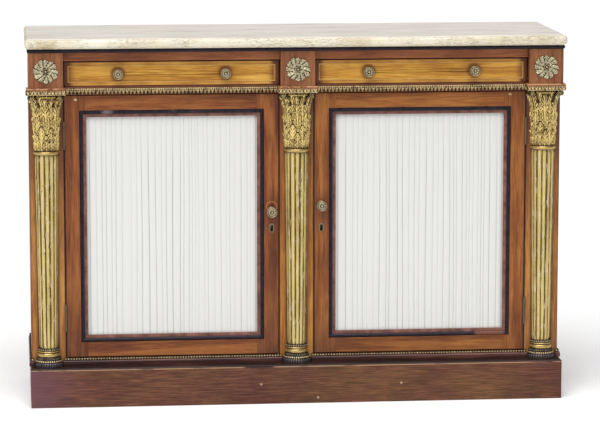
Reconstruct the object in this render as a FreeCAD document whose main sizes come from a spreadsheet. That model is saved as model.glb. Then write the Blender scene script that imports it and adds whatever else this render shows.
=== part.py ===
import FreeCAD, Part

import math
import os
import re

import Sketcher

# Side cabinet with a marble slab, two frieze drawers, two doors with pleated silk panels
# and three reeded half columns. Millimetres, Z up, the front faces -Y, X runs to the right.
# The origin lies on the floor under the middle of the slab.

doc = FreeCAD.newDocument("chiffonier")
sizes = doc.addObject("Spreadsheet::Sheet", "sizes")
places = doc.addObject("Spreadsheet::Sheet", "places")

LEFT = -1
RIGHT = 1
SIDE_NAMES = {LEFT: "left", RIGHT: "right"}
COLUMN_PLACES = {"left": "-column_x", "centre": "0", "right": "column_x"}

# How near the middle of an edge must lie to the spot that names it
EDGE_MATCH = 0.001
# Property that sizes each kind of worked edge
EDGE_SIZES = {"Fillet": "Radius", "Chamfer": "Size"}
# Part of a slanting length that runs along each side of its square
DIAGONAL_SHARE = math.sqrt(0.5)

# Flat facets round a knob, and widths and rises of the rings in its domed head
KNOB_SIDES = 16
KNOB_WIDTH_SHARES = (1, 0.87, 0.5)
KNOB_RISE_SHARES = (0, 0.55, 1)

# Straight steps up the bell of a capital and flat facets round it
BELL_STEPS = 2
BELL_SIDES = 16

# Leaf of a capital from root to tip
LEAF_HEIGHT_SHARES = (0, 0.6, 1)
LEAF_WIDTH_SHARES = (0.7, 1, 0.3)
LEAF_RIDGE_SHARES = (0.4, 0.85, 1.7)
LEAF_EDGE_SHARES = (0.06, 0.13, 0.8)
LEAF_ROOT_SHARE = 0.6

# Corner horn of a capital from root to tip
HORN_REACH_SHARES = (0, 0.56, 1)
HORN_SIZE_SHARES = (0, 0.7, 1)
HORN_RIDGE_SHARES = (1, 1, 0.5)

# Uneven widths of the pleats in the silk, and how far in from its valleys each is full
PLEAT_SWING_SHARE = 0.16
PLEAT_TURN = 2.4
PLEAT_SHOULDER_SHARE = 0.3

# Driving dimensions
SIZES = {
    # Marble slab
    "slab_width": 1336,
    "slab_depth": 410,
    "slab_thick": 25,
    "slab_corner_round": 14,
    "slab_top_round": 11,
    "slab_low_round": 9,
    "slab_back_overhang": 5,
    # Carcase
    "face_setback": 60,
    "carcase_width": 1320,
    "carcase_height": 781,
    "side_thick": 20,
    "bottom_thick": 18,
    "partition_thick": 18,
    "dustboard_thick": 14,
    "housing_depth": 6,
    "back_thick": 10,
    "back_board_count": 7,
    "back_board_gap": 0.6,
    "frieze_rail_height": 22.5,
    "frieze_rail_projection": 18,
    "drawer_opening_height": 62.5,
    "mid_rail_height": 22,
    "mid_rail_lip_height": 5.5,
    "mid_rail_lip_projection": 16,
    # Ebonised moulding below the slab
    "eaves_height": 10,
    "eaves_width": 40,
    "eaves_overhang": 3,
    "eaves_round": 4.5,
    # Plinth
    "plinth_height": 92,
    "plinth_thick": 22,
    "plinth_projection": 52,
    "plinth_overhang": 3,
    "cap_thick": 6,
    "cap_width": 90,
    "cap_round": 3,
    # Moulding and gilt bead at the foot of the carcase
    "base_moulding_height": 13,
    "base_moulding_front": 13,
    "base_moulding_side": 6,
    "base_moulding_round": 5,
    "base_bead_height": 5,
    "base_bead_front": 8,
    "base_bead_side": 4,
    "base_bead_round": 2.4,
    # Pilasters, frieze blocks and rosettes
    "pilaster_width": 85,
    "block_height": 87,
    "block_depth": 42,
    "block_foot_height": 6,
    "block_foot_overhang": 6,
    "rosette_width": 62,
    "rosette_thick": 9,
    "rosette_rim": 5,
    "rosette_edge": 4,
    "rosette_dish": 3,
    "rosette_boss": 16,
    "rosette_drop": 45,
    "petal_count": 8,
    "petal_length": 16,
    "petal_width": 13,
    # Half columns
    "shaft_top_width": 59,
    "shaft_low_width": 46.5,
    "reed_count": 7,
    "reed_depth": 3,
    "capital_height": 160,
    "capital_ring_height": 11,
    "capital_ring_width": 66,
    "bell_low_width": 61,
    "bell_top_width": 75,
    "neck_height": 14,
    "neck_width": 79,
    "abacus_height": 10.5,
    "abacus_width": 97,
    "abacus_depth": 48,
    "leaf_count": 5,
    "leaf_height": 108,
    "leaf_width": 21,
    "leaf_lift": 5,
    "leaf_root": 6,
    "horn_reach": 66,
    "horn_width": 8,
    "horn_height": 4.5,
    "horn_root_width": 15,
    "horn_root_height": 17,
    "horn_drop": 10,
    "horn_ridge": 2,
    "foot_height": 10,
    "foot_width": 74,
    "foot_bevel": 3,
    "leaf_collar_height": 13,
    "leaf_collar_width": 67,
    "band_height": 16,
    "band_width": 52,
    "top_collar_height": 6,
    "top_collar_width": 55,
    # Gilt leaf-tip moulding over the doors
    "leaf_strip_height": 13.5,
    "leaf_strip_top": 20,
    "leaf_strip_low": 8,
    "leaf_strip_swell": 2,
    "fit_gap": 0.3,
    # Doors
    "door_thick": 22,
    "door_end_gap": 2,
    "door_side_gap": 1.5,
    "door_stop_gap": 0.3,
    "frame_width": 37,
    "strip_width": 9,
    "strip_proud": 2.5,
    "strip_bevel": 2.4,
    "lip_width": 8,
    "lip_sink": 3,
    "lip_thick": 6,
    "rebate_width": 10,
    "tenon_thick": 7,
    "tenon_length": 30,
    "tenon_shoulder": 8,
    "panel_thick": 5,
    "panel_play": 0.5,
    # Pleated silk
    "pleat_count": 33,
    "pleat_rise": 1.5,
    "silk_thick": 0.7,
    "silk_tuck": 8,
    # Hinges
    "hinge_length": 69,
    "hinge_inset": 64,
    "knuckle_count": 3,
    "knuckle_width": 6,
    "pin_width": 3,
    "pin_clearance": 0.05,
    "knuckle_end_gap": 0.2,
    "leaf_thick": 1.6,
    "leaf_reach": 22,
    # Knobs
    "knob_width": 28.5,
    "knob_length": 25,
    "knob_foot_width": 25,
    "knob_foot_thick": 3,
    "knob_neck_width": 12,
    "knob_neck_length": 11,
    "knob_flare_length": 4.5,
    "knob_shank_width": 5,
    "knob_from_centre": 62,
    "left_knob_z": 476,
    "right_knob_z": 490,
    "old_hole_rise": 11,
    # Locks
    "keyhole_z": 438,
    "keyhole_eye": 7,
    "keyhole_slot": 4.8,
    "keyhole_drop": 10,
    "escutcheon_width": 12.5,
    "escutcheon_height": 23,
    "escutcheon_thick": 3,
    "escutcheon_proud": 0.6,
    "lock_width": 42,
    "lock_height": 57,
    "lock_drop": 25,
    "lock_thick": 12,
    "lock_wall": 1.6,
    "bolt_height": 14,
    "bolt_thick": 6,
    "bolt_length": 34,
    "bolt_rise": 19,
    "bolt_throw": 8,
    "bolt_clearance": 0.3,
    # Drawers
    "drawer_projection": 15,
    "drawer_side_gap": 2,
    "drawer_low_gap": 0.5,
    "drawer_top_gap": 2,
    "drawer_front_thick": 20,
    "drawer_back_gap": 30,
    "drawer_wall": 9,
    "drawer_wall_height": 52,
    "drawer_bottom_thick": 6,
    "drawer_bottom_rise": 8,
    "drawer_groove": 4,
    "cock_bead_margin": 9,
    "cock_bead_width": 2.5,
    "cock_bead_proud": 1.2,
    "drawer_knob_spread": 132,
    "guide_height": 20,
    # Shelves and stops
    "shelf_z": 420,
    "shelf_thick": 16,
    "shelf_front_gap": 26,
    "shelf_play": 1,
    "cleat_width": 18,
    "cleat_height": 18,
    "drawer_stop_width": 30,
    "drawer_stop_length": 25,
    "drawer_stop_height": 6,
    "drawer_stop_spread": 150,
    "door_stop_thick": 12,
    "door_stop_reach": 12,
    "door_stop_hold": 14,
    # How far a cut runs past the face that it opens
    "overrun": 1,
}

# Places that follow from the driving dimensions
PLACES = {
    "half_width": "carcase_width / 2",
    "face_y": "face_setback - slab_depth / 2",
    "back_y": "slab_depth / 2 - slab_back_overhang",
    "ledge_z": "plinth_height + cap_thick",
    "carcase_top_z": "ledge_z + carcase_height",
    "slab_z": "carcase_top_z + eaves_height",
    "board_back_y": "back_y - back_thick",
    "door_back_y": "face_y + door_thick",
    "pilaster_back_y": "door_back_y + door_stop_gap",
    "side_inner_x": "half_width - side_thick",
    "opening_outer_x": "half_width - pilaster_width",
    "opening_inner_x": "pilaster_width / 2",
    "bay_middle_x": "(opening_outer_x + opening_inner_x) / 2",
    "column_x": "half_width - pilaster_width / 2",
    "floor_z": "ledge_z + bottom_thick",
    "drawer_ceiling_z": "carcase_top_z - frieze_rail_height",
    "drawer_floor_z": "drawer_ceiling_z - drawer_opening_height",
    "mid_rail_z": "drawer_floor_z - mid_rail_height",
    "bay_outer_x": "column_x - abacus_width / 2 - fit_gap",
    "bay_inner_x": "abacus_width / 2 + fit_gap",
    "eaves_y": "face_y - block_depth - eaves_overhang",
    "eaves_x": "half_width + eaves_overhang",
    "plinth_y": "face_y - plinth_projection",
    "plinth_x": "half_width + plinth_overhang",
    "block_z": "carcase_top_z - block_height",
    "capital_top_z": "block_z - block_foot_height",
    "capital_z": "capital_top_z - capital_height",
    "column_base_z": "ledge_z + foot_height",
    "shaft_z": "column_base_z + leaf_collar_height + band_height + top_collar_height",
    "door_outer_x": "opening_outer_x - door_side_gap",
    "door_inner_x": "opening_inner_x + door_side_gap",
    "door_low_z": "floor_z + door_end_gap",
    "door_high_z": "mid_rail_z - door_end_gap",
    "stile_width": "frame_width + strip_width + lip_width",
    "hinge_x": "opening_outer_x - door_side_gap / 2",
    "hinge_y": "face_y - fit_gap - knuckle_width / 2",
    "strip_y": "face_y + lip_sink",
    "silk_y": "strip_y + lip_thick + fit_gap",
    "panel_y": "silk_y + pleat_rise + silk_thick + fit_gap",
    "lock_low_z": "keyhole_z - lock_drop",
    "lock_y": "door_back_y - lock_thick",
    "bolt_y": "lock_y + (lock_thick - bolt_thick) / 2",
    "bolt_z": "keyhole_z + bolt_rise - bolt_height / 2",
    "drawer_front_y": "face_y - drawer_projection",
    "drawer_front_back_y": "drawer_front_y + drawer_front_thick",
    "drawer_back_y": "board_back_y - drawer_back_gap",
    "drawer_outer_x": "opening_outer_x - drawer_side_gap",
    "drawer_inner_x": "opening_inner_x + drawer_side_gap",
    "drawer_low_z": "drawer_floor_z + drawer_low_gap",
    "drawer_high_z": "drawer_ceiling_z - drawer_top_gap",
    "shelf_y": "pilaster_back_y + shelf_front_gap",
}


def fill_sheet(sheet, rows, lead):
    """Write one named cell per row, the name beside its value or formula."""
    for row, (name, content) in enumerate(rows.items(), start=1):
        sheet.set(f"A{row}", name)
        sheet.set(f"B{row}", f"{lead}{content}")
        sheet.setAlias(f"B{row}", name)


def qualified(text):
    """An expression with each sheet name put before the aliases that it holds."""
    def with_sheet(match):
        name = match.group(0)
        if name in SIZES:
            return f"sizes.{name}"
        if name in PLACES:
            return f"places.{name}"
        return name
    return re.sub(r"[a-z][a-z_]+", with_sheet, str(text))


def value(text):
    return float(sizes.evalExpression(qualified(text)))


def bind(item, bindings):
    for name, text in bindings.items():
        item.setExpression(name, qualified(text))


def set_down(item, x="0", y="0", z="0"):
    """Bind the place of an item's own origin."""
    bind(item, {"Placement.Base.x": x, "Placement.Base.y": y, "Placement.Base.z": z})
    return item


def span(side, near, far):
    """A low and high X for a stretch given by its distances from the middle of the cabinet."""
    if side == LEFT:
        return f"-({far})", f"-({near})"
    return near, far


def box(label, x, y, z):
    """A board between low and high limits along X, Y and Z."""
    board = doc.addObject("Part::Box", label)
    limits = {"Length": x, "Width": y, "Height": z}
    bind(board, {name: f"({high}) - ({low})" for name, (low, high) in limits.items()})
    return set_down(board, x[0], y[0], z[0])


def rod(label, width, length, place, along_y=False):
    """A round bar that runs up, or toward the front where along_y is set."""
    bar = doc.addObject("Part::Cylinder", label)
    bind(bar, {"Radius": f"({width}) / 2", "Height": length})
    if along_y:
        bar.Placement.Rotation = FreeCAD.Rotation(FreeCAD.Vector(1, 0, 0), 90)
    return set_down(bar, *place)


def group(label, members):
    """Separate solids of one kind that share a node."""
    joined = doc.addObject("Part::Compound", label)
    joined.Links = members
    return joined


def cut(label, base, tools):
    """A piece with clear-standing tools taken out of it."""
    result = doc.addObject("Part::Cut", label)
    result.Base = base
    result.Tool = tools[0] if len(tools) == 1 else group(f"{label}_cutters", tools)
    return result


def fuse(label, members):
    result = doc.addObject("Part::MultiFuse", label)
    result.Shapes = members
    return result


def new_sketch(body, role, name="outline"):
    sketch = body.newObject("Sketcher::SketchObject", name)
    plane = next(item for item in body.Origin.OriginFeatures if item.Role == role)
    sketch.AttachmentSupport = [(plane, "")]
    sketch.MapMode = "FlatFace"
    return sketch


def pin_point(sketch, geometry, end, texts):
    """Hold one end of a sketch line at a place taken from the sheets."""
    for kind, text in zip(("DistanceX", "DistanceY"), texts):
        number = sketch.addConstraint(Sketcher.Constraint(kind, -1, 1, geometry, end, value(text)))
        sketch.setExpression(f"Constraints[{number}]", qualified(text))


def draw_outline(sketch, corners, middles=None):
    """A closed outline through corners; a side with a middle point is an arc through it."""
    middles = middles or {}
    spots = [FreeCAD.Vector(value(x), value(y), 0) for x, y in corners]
    for index, start in enumerate(spots):
        finish = spots[(index + 1) % len(spots)]
        if index not in middles:
            side = sketch.addGeometry(Part.LineSegment(start, finish))
            ends = (1, 2)
        else:
            middle = FreeCAD.Vector(*[value(text) for text in middles[index]], 0)
            leftward = (middle - start).cross(finish - middle).z > 0
            ends = (1, 2) if leftward else (2, 1)
            arc = Part.Arc(start, middle, finish) if leftward else Part.Arc(finish, middle, start)
            side = sketch.addGeometry(arc)
            mark = sketch.addGeometry(Part.Point(middle), True)
            pin_point(sketch, mark, 1, middles[index])
            sketch.addConstraint(Sketcher.Constraint("PointOnObject", mark, 1, side))
        pin_point(sketch, side, ends[0], corners[index])
        pin_point(sketch, side, ends[1], corners[(index + 1) % len(corners)])


def pad(body, sketch, length, name="pad"):
    feature = body.newObject("PartDesign::Pad", name)
    feature.Profile = sketch
    bind(feature, {"Length": length})
    return feature


def work_edges(body, base, edges, size, name="rounding", kind="Fillet"):
    """A fillet or chamfer on the edges of the base feature whose middles lie at the given spots."""
    doc.recompute()
    names = []
    for number, edge in enumerate(base.Shape.Edges, start=1):
        first, last = edge.ParameterRange
        middle = edge.valueAt((first + last) / 2)
        if any(middle.isEqual(spot, EDGE_MATCH) for spot in edges):
            names.append(f"Edge{number}")
    feature = body.newObject(f"PartDesign::{kind}", name)
    feature.Base = (base, names)
    bind(feature, {EDGE_SIZES[kind]: size})
    return feature


def strip(label, role, corners, thick, place, worked, size, kind="Fillet"):
    """A length of moulding, mitred by its outline; worked lists (side, far end) pairs of its edges."""
    body = doc.addObject("PartDesign::Body", label)
    sketch = new_sketch(body, role)
    draw_outline(sketch, corners)
    feature = pad(body, sketch, thick)
    spots = []
    for side, far in worked:
        start, finish = [corners[(side + step) % len(corners)] for step in (0, 1)]
        across, along = [value(f"(({a}) + ({b})) / 2") for a, b in zip(start, finish)]
        level = value(thick) * far
        if role == "XZ_Plane":
            spots.append(FreeCAD.Vector(across, -level, along))
        else:
            spots.append(FreeCAD.Vector(across, along, level))
    if spots:
        work_edges(body, feature, spots, size, kind=kind)
    return set_down(body, *place)


def turn(body, sketch, half):
    """Turn a sketch about its upright axis, fully or over the half that faces the front."""
    feature = body.newObject("PartDesign::Revolution", "turning")
    feature.Profile = sketch
    feature.ReferenceAxis = (sketch, ["V_Axis"])
    feature.Angle = 180 if half else 360
    feature.Reversed = half
    return feature


def half_turning(label, corners, place):
    body = doc.addObject("PartDesign::Body", label)
    sketch = new_sketch(body, "XZ_Plane", "half_section")
    draw_outline(sketch, corners)
    turn(body, sketch, True)
    return set_down(body, *place)


# Slab, moulding below it and board that carries it

def marble_slab():
    body = doc.addObject("PartDesign::Body", "marble_top")
    sketch = new_sketch(body, "XY_Plane")
    x, y = "slab_width / 2", "slab_depth / 2"
    draw_outline(sketch, [(f"-{x}", f"-{y}"), (x, f"-{y}"), (x, y), (f"-{x}", y)])
    feature = pad(body, sketch, "slab_thick")
    half_x, half_y, thick = value(x), value(y), value("slab_thick")
    corners = [FreeCAD.Vector(end * half_x, -half_y, thick / 2) for end in (LEFT, RIGHT)]
    feature = work_edges(body, feature, corners, "slab_corner_round", "corners")
    for name, level, radius in (("arris", thick, "slab_top_round"), ("underside", 0, "slab_low_round")):
        middle_y = value("slab_corner_round") / 2
        spots = [FreeCAD.Vector(end * half_x, middle_y, level) for end in (LEFT, RIGHT)]
        spots.append(FreeCAD.Vector(0, -half_y, level))
        bend = value("slab_corner_round") * (1 - DIAGONAL_SHARE)
        spots += [FreeCAD.Vector(end * (half_x - bend), bend - half_y, level) for end in (LEFT, RIGHT)]
        feature = work_edges(body, feature, spots, radius, name)
    return set_down(body, z="slab_z")


def eaves_moulding():
    """Front length and two returns, mitred at the front corners."""
    inner_x = "eaves_x - eaves_width"
    inner_y = "eaves_y + eaves_width"
    front = [("-eaves_x", "eaves_y"), ("eaves_x", "eaves_y"), (inner_x, inner_y), (f"-({inner_x})", inner_y)]
    lengths = [("front_eaves", front)]
    for side in (LEFT, RIGHT):
        outer, inner = f"{side} * eaves_x", f"{side} * ({inner_x})"
        corners = [(outer, "eaves_y"), (outer, "back_y"), (inner, "back_y"), (inner, inner_y)]
        lengths.append((f"{SIDE_NAMES[side]}_eaves", corners))
    place = ("0", "0", "carcase_top_z")
    members = [strip(name, "XY_Plane", corners, "eaves_height", place, [(0, 0), (0, 1)], "eaves_round")
               for name, corners in lengths]
    return group("eaves_moulding", members)


def sub_top():
    x = "eaves_x - eaves_width"
    return box("sub_top", (f"-({x})", x), ("eaves_y + eaves_width", "back_y"), ("carcase_top_z", "slab_z"))


# Boards of the carcase

def dustboards():
    inner = "partition_thick / 2 - housing_depth"
    outer = "side_inner_x + housing_depth"
    y = ("pilaster_back_y", "board_back_y")
    z = ("drawer_floor_z - dustboard_thick", "drawer_floor_z")
    return {side: box(f"{name}_dustboard", span(side, inner, outer), y, z)
            for side, name in SIDE_NAMES.items()}


def carcase_sides(boards):
    z = ("ledge_z", "carcase_top_z")
    y = ("pilaster_back_y", "back_y")
    made = []
    for side, name in SIDE_NAMES.items():
        blank = box(f"{name}_side_blank", span(side, "side_inner_x", "half_width"), y, z)
        made.append(cut(f"side_{name}", blank, [boards[side]]))
    return made


def central_partition(boards):
    x = span(RIGHT, "-partition_thick / 2", "partition_thick / 2")
    blank = box("partition_blank", x, ("pilaster_back_y", "board_back_y"), ("floor_z", "carcase_top_z"))
    return cut("central_partition", blank, list(boards.values()))


def bottom_board():
    y = ("pilaster_back_y", "board_back_y")
    return box("bottom_board", ("-side_inner_x", "side_inner_x"), y, ("ledge_z", "floor_z"))


def back_boards():
    pitch = "2 * side_inner_x / back_board_count"
    y = ("board_back_y", "back_y")
    z = ("ledge_z", "carcase_top_z")
    members = []
    for number in range(SIZES["back_board_count"]):
        low = f"{number} * {pitch} - side_inner_x + back_board_gap / 2"
        high = f"{number + 1} * {pitch} - side_inner_x - back_board_gap / 2"
        members.append(box(f"back_board_{number + 1}", (low, high), y, z))
    return group("back_boards", members)


def front_rails():
    """Rail over the drawers, rail with a lip under them and rail below the doors, in each bay."""
    members = []
    for side, name in SIDE_NAMES.items():
        opening = span(side, "opening_inner_x", "opening_outer_x")
        clear = span(side, "bay_inner_x", "bay_outer_x")
        y = ("face_y", "pilaster_back_y")
        top_y = ("face_y - frieze_rail_projection", "pilaster_back_y")
        members.append(box(f"{name}_frieze_rail", opening, top_y, ("drawer_ceiling_z", "carcase_top_z")))
        rail = box(f"{name}_mid_rail_body", opening, y, ("mid_rail_z", "drawer_floor_z"))
        lip_y = ("face_y - mid_rail_lip_projection", "face_y")
        lip_z = ("drawer_floor_z - mid_rail_lip_height", "drawer_floor_z")
        lip = box(f"{name}_mid_rail_lip", clear, lip_y, lip_z)
        members.append(fuse(f"{name}_mid_rail", [rail, lip]))
        members.append(box(f"{name}_base_rail", opening, y, ("ledge_z", "floor_z")))
    return group("front_rails", members)


# Plinth with its cap

def frame_outlines(outer_x, outer_y, width, back_width):
    """Plans of a front board, mitred returns and a back board between the returns."""
    inner_x, inner_y = f"{outer_x} - {width}", f"{outer_y} + {width}"
    front = [(f"-{outer_x}", outer_y), (outer_x, outer_y), (inner_x, inner_y), (f"-({inner_x})", inner_y)]
    plans = {"front": front}
    for side, name in SIDE_NAMES.items():
        outer, inner = f"{side} * {outer_x}", f"{side} * ({inner_x})"
        plans[name] = [(outer, outer_y), (outer, "back_y"), (inner, "back_y"), (inner, inner_y)]
    low_y = f"back_y - {back_width}"
    left_x = f"-({inner_x})"
    plans["back"] = [(inner_x, low_y), (left_x, low_y), (left_x, "back_y"), (inner_x, "back_y")]
    return plans


def plinth():
    plans = frame_outlines("plinth_x", "plinth_y", "plinth_thick", "plinth_thick")
    members = [strip(f"plinth_{name}", "XY_Plane", corners, "plinth_height", ("0", "0", "0"), [], None)
               for name, corners in plans.items()]
    return group("plinth_boards", members)


def plinth_cap():
    plans = frame_outlines("plinth_x", "plinth_y", "cap_width", "plinth_thick")
    place = ("0", "0", "plinth_height")
    members = []
    for name, corners in plans.items():
        rounded = [] if name == "back" else [(0, 1)]
        members.append(strip(f"cap_{name}", "XY_Plane", corners, "cap_thick", place, rounded, "cap_round"))
    return group("plinth_cap", members)


def base_run(label, low_z, height, front, side_reach, radius):
    """Moulding round the foot of the carcase, stopped each side of the column feet."""
    foot = "foot_width / 2 + fit_gap"
    front_y = f"face_y - {front}"
    place = ("0", "0", low_z)
    members = []
    for side, name in SIDE_NAMES.items():
        near, far = f"{side} * ({foot})", f"{side} * (column_x - {foot})"
        bay = [(near, front_y), (far, front_y), (far, "face_y"), (near, "face_y")]
        outer, flank = f"{side} * (half_width + {side_reach})", f"{side} * half_width"
        end = f"{side} * (column_x + {foot})"
        stub = [(outer, front_y), (end, front_y), (end, "face_y"), (flank, "face_y")]
        flank_run = [(outer, front_y), (outer, "back_y"), (flank, "back_y"), (flank, "face_y")]
        for part, corners in (("bay", bay), ("stub", stub), ("flank", flank_run)):
            run = f"{label}_{name}_{part}"
            members.append(strip(run, "XY_Plane", corners, height, place, [(0, 1)], radius))
    return group(label, members)


# Pilasters and frieze blocks

def hinge_levels():
    low = "door_low_z + hinge_inset"
    high = "door_high_z - hinge_inset - hinge_length"
    return {"low": low, "high": high}


def leaf_plate(label, x, level):
    """Flat of a hinge leaf; it also cuts its own seat in the wood."""
    return box(label, x, ("hinge_y", "hinge_y + leaf_reach"), (level, f"{level} + hinge_length"))


def pilasters(plates, bolts):
    y = ("face_y", "pilaster_back_y")
    z = ("ledge_z", "carcase_top_z")
    made = []
    for side, name in SIDE_NAMES.items():
        blank = box(f"{name}_pilaster_blank", span(side, "opening_outer_x", "half_width"), y, z)
        made.append(cut(f"pilaster_{name}", blank, plates[side]))
    blank = box("centre_pilaster_blank", ("-opening_inner_x", "opening_inner_x"), y, z)
    made.append(cut("pilaster_centre", blank, bolts))
    return made


def bolt_passage():
    """Y and Z limits of a hole that a bolt runs in with some room."""
    y = ("bolt_y - bolt_clearance", "bolt_y + bolt_thick + bolt_clearance")
    z = ("bolt_z - bolt_clearance", "bolt_z + bolt_height + bolt_clearance")
    return y, z


def bolt_mortise(side):
    """Hole in the edge of the centre pilaster for the thrown bolt."""
    bottom = "door_inner_x - bolt_throw - bolt_clearance"
    x = span(side, bottom, "opening_inner_x + overrun")
    return box(f"{SIDE_NAMES[side]}_bolt_mortise", x, *bolt_passage())


def frieze_blocks():
    members = []
    for name, centre in COLUMN_PLACES.items():
        half = "pilaster_width / 2"
        x = (f"{centre} - {half}", f"{centre} + {half}")
        block = box(f"{name}_block", x, ("face_y - block_depth", "face_y"), ("block_z", "carcase_top_z"))
        x = (f"{x[0]} - block_foot_overhang", f"{x[1]} + block_foot_overhang")
        y = ("face_y - block_depth - block_foot_overhang", "face_y")
        foot = box(f"{name}_block_foot", x, y, ("capital_top_z", "block_z"))
        members.append(fuse(f"{name}_frieze_block", [block, foot]))
    return group("frieze_blocks", members)


def rosettes():
    """Discs with a bevelled rim, a ring of petals and a raised boss."""
    members = []
    for name, centre in COLUMN_PLACES.items():
        body = doc.addObject("PartDesign::Body", f"{name}_rosette")
        sketch = new_sketch(body, "XY_Plane", "half_section")
        rim, boss = "rosette_width / 2", "rosette_boss / 2"
        field = "-(rosette_thick - rosette_dish)"
        corners = [("0", "0"), (rim, "0"), (rim, "-rosette_edge"), (f"{rim} - rosette_rim", field),
                   (boss, field), (f"{boss} - rosette_dish", "-rosette_thick"), ("0", "-rosette_thick")]
        draw_outline(sketch, corners)
        turn(body, sketch, False)
        petal_ring(body, f"({boss} + {rim} - rosette_rim) / 2")
        members.append(set_down(body, centre, "face_y - block_depth", "carcase_top_z - rosette_drop"))
    return group("rosettes", members)


def petal_ring(body, radius):
    """Pointed petals round the axis of a rosette, half the depth of its dish proud of the field."""
    sketch = new_sketch(body, "XZ_Plane", "petal_outline")
    low, high = f"{radius} - petal_length / 2", f"{radius} + petal_length / 2"
    half = "petal_width / 2"
    draw_outline(sketch, [("0", low), (half, radius), ("0", high), (f"-{half}", radius)])
    petal = pad(body, sketch, "rosette_thick - rosette_dish / 2", "petal")
    doc.recompute()
    ring = body.newObject("PartDesign::PolarPattern", "petals")
    ring.Originals = [petal]
    ring.Axis = (next(item for item in body.Origin.OriginFeatures if item.Role == "Y_Axis"), [""])
    ring.Angle = 360
    bind(ring, {"Occurrences": "petal_count"})
    body.Tip = ring


# Half columns

def column_shaft(name, centre):
    """Reeded half round that tapers downward, lofted between its two end sections."""
    body = doc.addObject("PartDesign::Body", f"column_{name}")
    sketches = []
    ends = (("low", "shaft_low_width", "0"), ("top", "shaft_top_width", "capital_z - shaft_z"))
    for end, width, level in ends:
        sketch = new_sketch(body, "XY_Plane", f"{end}_section")
        bind(sketch, {"AttachmentOffset.Base.z": level})
        step = "180 deg / reed_count"
        groove = f"({width} / 2 - reed_depth * {width} / shaft_top_width)"
        corners = []
        middles = {}
        for number in range(SIZES["reed_count"] + 1):
            angle = f"{number} * {step}"
            corners.append((f"{groove} * cos({angle})", f"-{groove} * sin({angle})"))
        for number in range(SIZES["reed_count"]):
            angle = f"({number} + 1 / 2) * {step}"
            middles[number] = (f"{width} / 2 * cos({angle})", f"-{width} / 2 * sin({angle})")
        draw_outline(sketch, corners, middles)
        sketches.append(sketch)
    loft = body.newObject("PartDesign::AdditiveLoft", "taper")
    loft.Profile = sketches[0]
    loft.Sections = sketches[1:]
    loft.Ruled = True
    return set_down(body, centre, "face_y", "shaft_z")


def column_bases():
    """Gilt bases: a spreading leaf collar, a polished band and a top collar."""
    collar, band, top = "leaf_collar_width / 2", "band_width / 2", "top_collar_width / 2"
    band_z = "leaf_collar_height"
    collar_z = f"{band_z} + band_height"
    top_z = f"{collar_z} + top_collar_height"
    corners = [("0", "0"), (collar, "0"), (band, band_z), (band, collar_z), (top, collar_z), (top, top_z),
               ("0", top_z)]
    members = [half_turning(f"{name}_column_base", corners, (centre, "face_y", "column_base_z"))
               for name, centre in COLUMN_PLACES.items()]
    return group("column_bases", members)


def column_feet():
    radius = "foot_width / 2"
    inner = f"{radius} - foot_bevel"
    corners = [("0", "0"), (radius, "0"), (radius, "foot_height - foot_bevel"), (inner, "foot_height"),
               ("0", "foot_height")]
    members = [half_turning(f"{name}_column_foot", corners, (centre, "face_y", "ledge_z"))
               for name, centre in COLUMN_PLACES.items()]
    return group("column_feet", members)


def ring_of(spots):
    return Part.makePolygon(spots + spots[:1])


def facet_solid(sections):
    """A solid with flat facets between closed rings of spots."""
    faces = [Part.Face(ring_of(sections[0])), Part.Face(ring_of(sections[-1]))]
    for low, high in zip(sections, sections[1:]):
        for index in range(len(low)):
            step = (index + 1) % len(low)
            faces.append(Part.Face(ring_of([low[index], low[step], high[step]])))
            faces.append(Part.Face(ring_of([low[index], high[step], high[index]])))
    return Part.makeSolid(Part.makeShell(faces)).removeSplitter()


def turned_facets(profile, sides):
    """Flat facets round the Z axis through rings given by radius and level."""
    turns = [2 * math.pi * number / sides for number in range(sides)]
    return facet_solid([[FreeCAD.Vector(radius * math.cos(angle), radius * math.sin(angle), level)
                         for angle in turns] for radius, level in profile])


def capital_leaf(angle, bell_radius, low_z):
    """A ridged leaf that hugs the bell and turns outward at its tip."""
    shares = zip(LEAF_HEIGHT_SHARES, LEAF_WIDTH_SHARES, LEAF_RIDGE_SHARES, LEAF_EDGE_SHARES)
    sections = []
    for height_share, width_share, ridge_share, edge_share in shares:
        rise = height_share * value("leaf_height")
        radius = bell_radius(rise)
        half = math.asin(width_share * value("leaf_width / 2") / radius)
        ridge = radius + ridge_share * value("leaf_lift")
        edge = radius + edge_share * value("leaf_lift")
        root = radius - value("leaf_root")
        turns = ((-1, edge), (0, ridge), (1, edge), (LEAF_ROOT_SHARE, root), (-LEAF_ROOT_SHARE, root))
        spots = []
        for turn_share, reach in turns:
            spin = angle + turn_share * half
            spots.append(FreeCAD.Vector(reach * math.cos(spin), -reach * math.sin(spin), low_z + rise))
        sections.append(spots)
    return facet_solid(sections)


def capital_horn(side, root_radius, low_z):
    """A bracket leaf on the diagonal, from the bell out to the corner of the abacus."""
    out = FreeCAD.Vector(side * DIAGONAL_SHARE, -DIAGONAL_SHARE, 0)
    across = FreeCAD.Vector(-out.y, out.x, 0)
    sections = []
    for reach_share, size_share, ridge_share in zip(HORN_REACH_SHARES, HORN_SIZE_SHARES, HORN_RIDGE_SHARES):
        reach = root_radius + reach_share * (value("horn_reach") - root_radius)
        width = value("horn_root_width") + size_share * value("horn_width - horn_root_width")
        height = value("horn_root_height") + size_share * value("horn_height - horn_root_height")
        ridge = ridge_share * value("horn_ridge")
        centre = out * reach + FreeCAD.Vector(0, 0, low_z - value("horn_drop") * (1 - size_share))
        left, right = centre - across * (width / 2), centre + across * (width / 2)
        keel, crest = centre - FreeCAD.Vector(0, 0, height), centre + FreeCAD.Vector(0, 0, ridge)
        sections.append([left, keel, right, crest])
    return facet_solid(sections)


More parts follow.
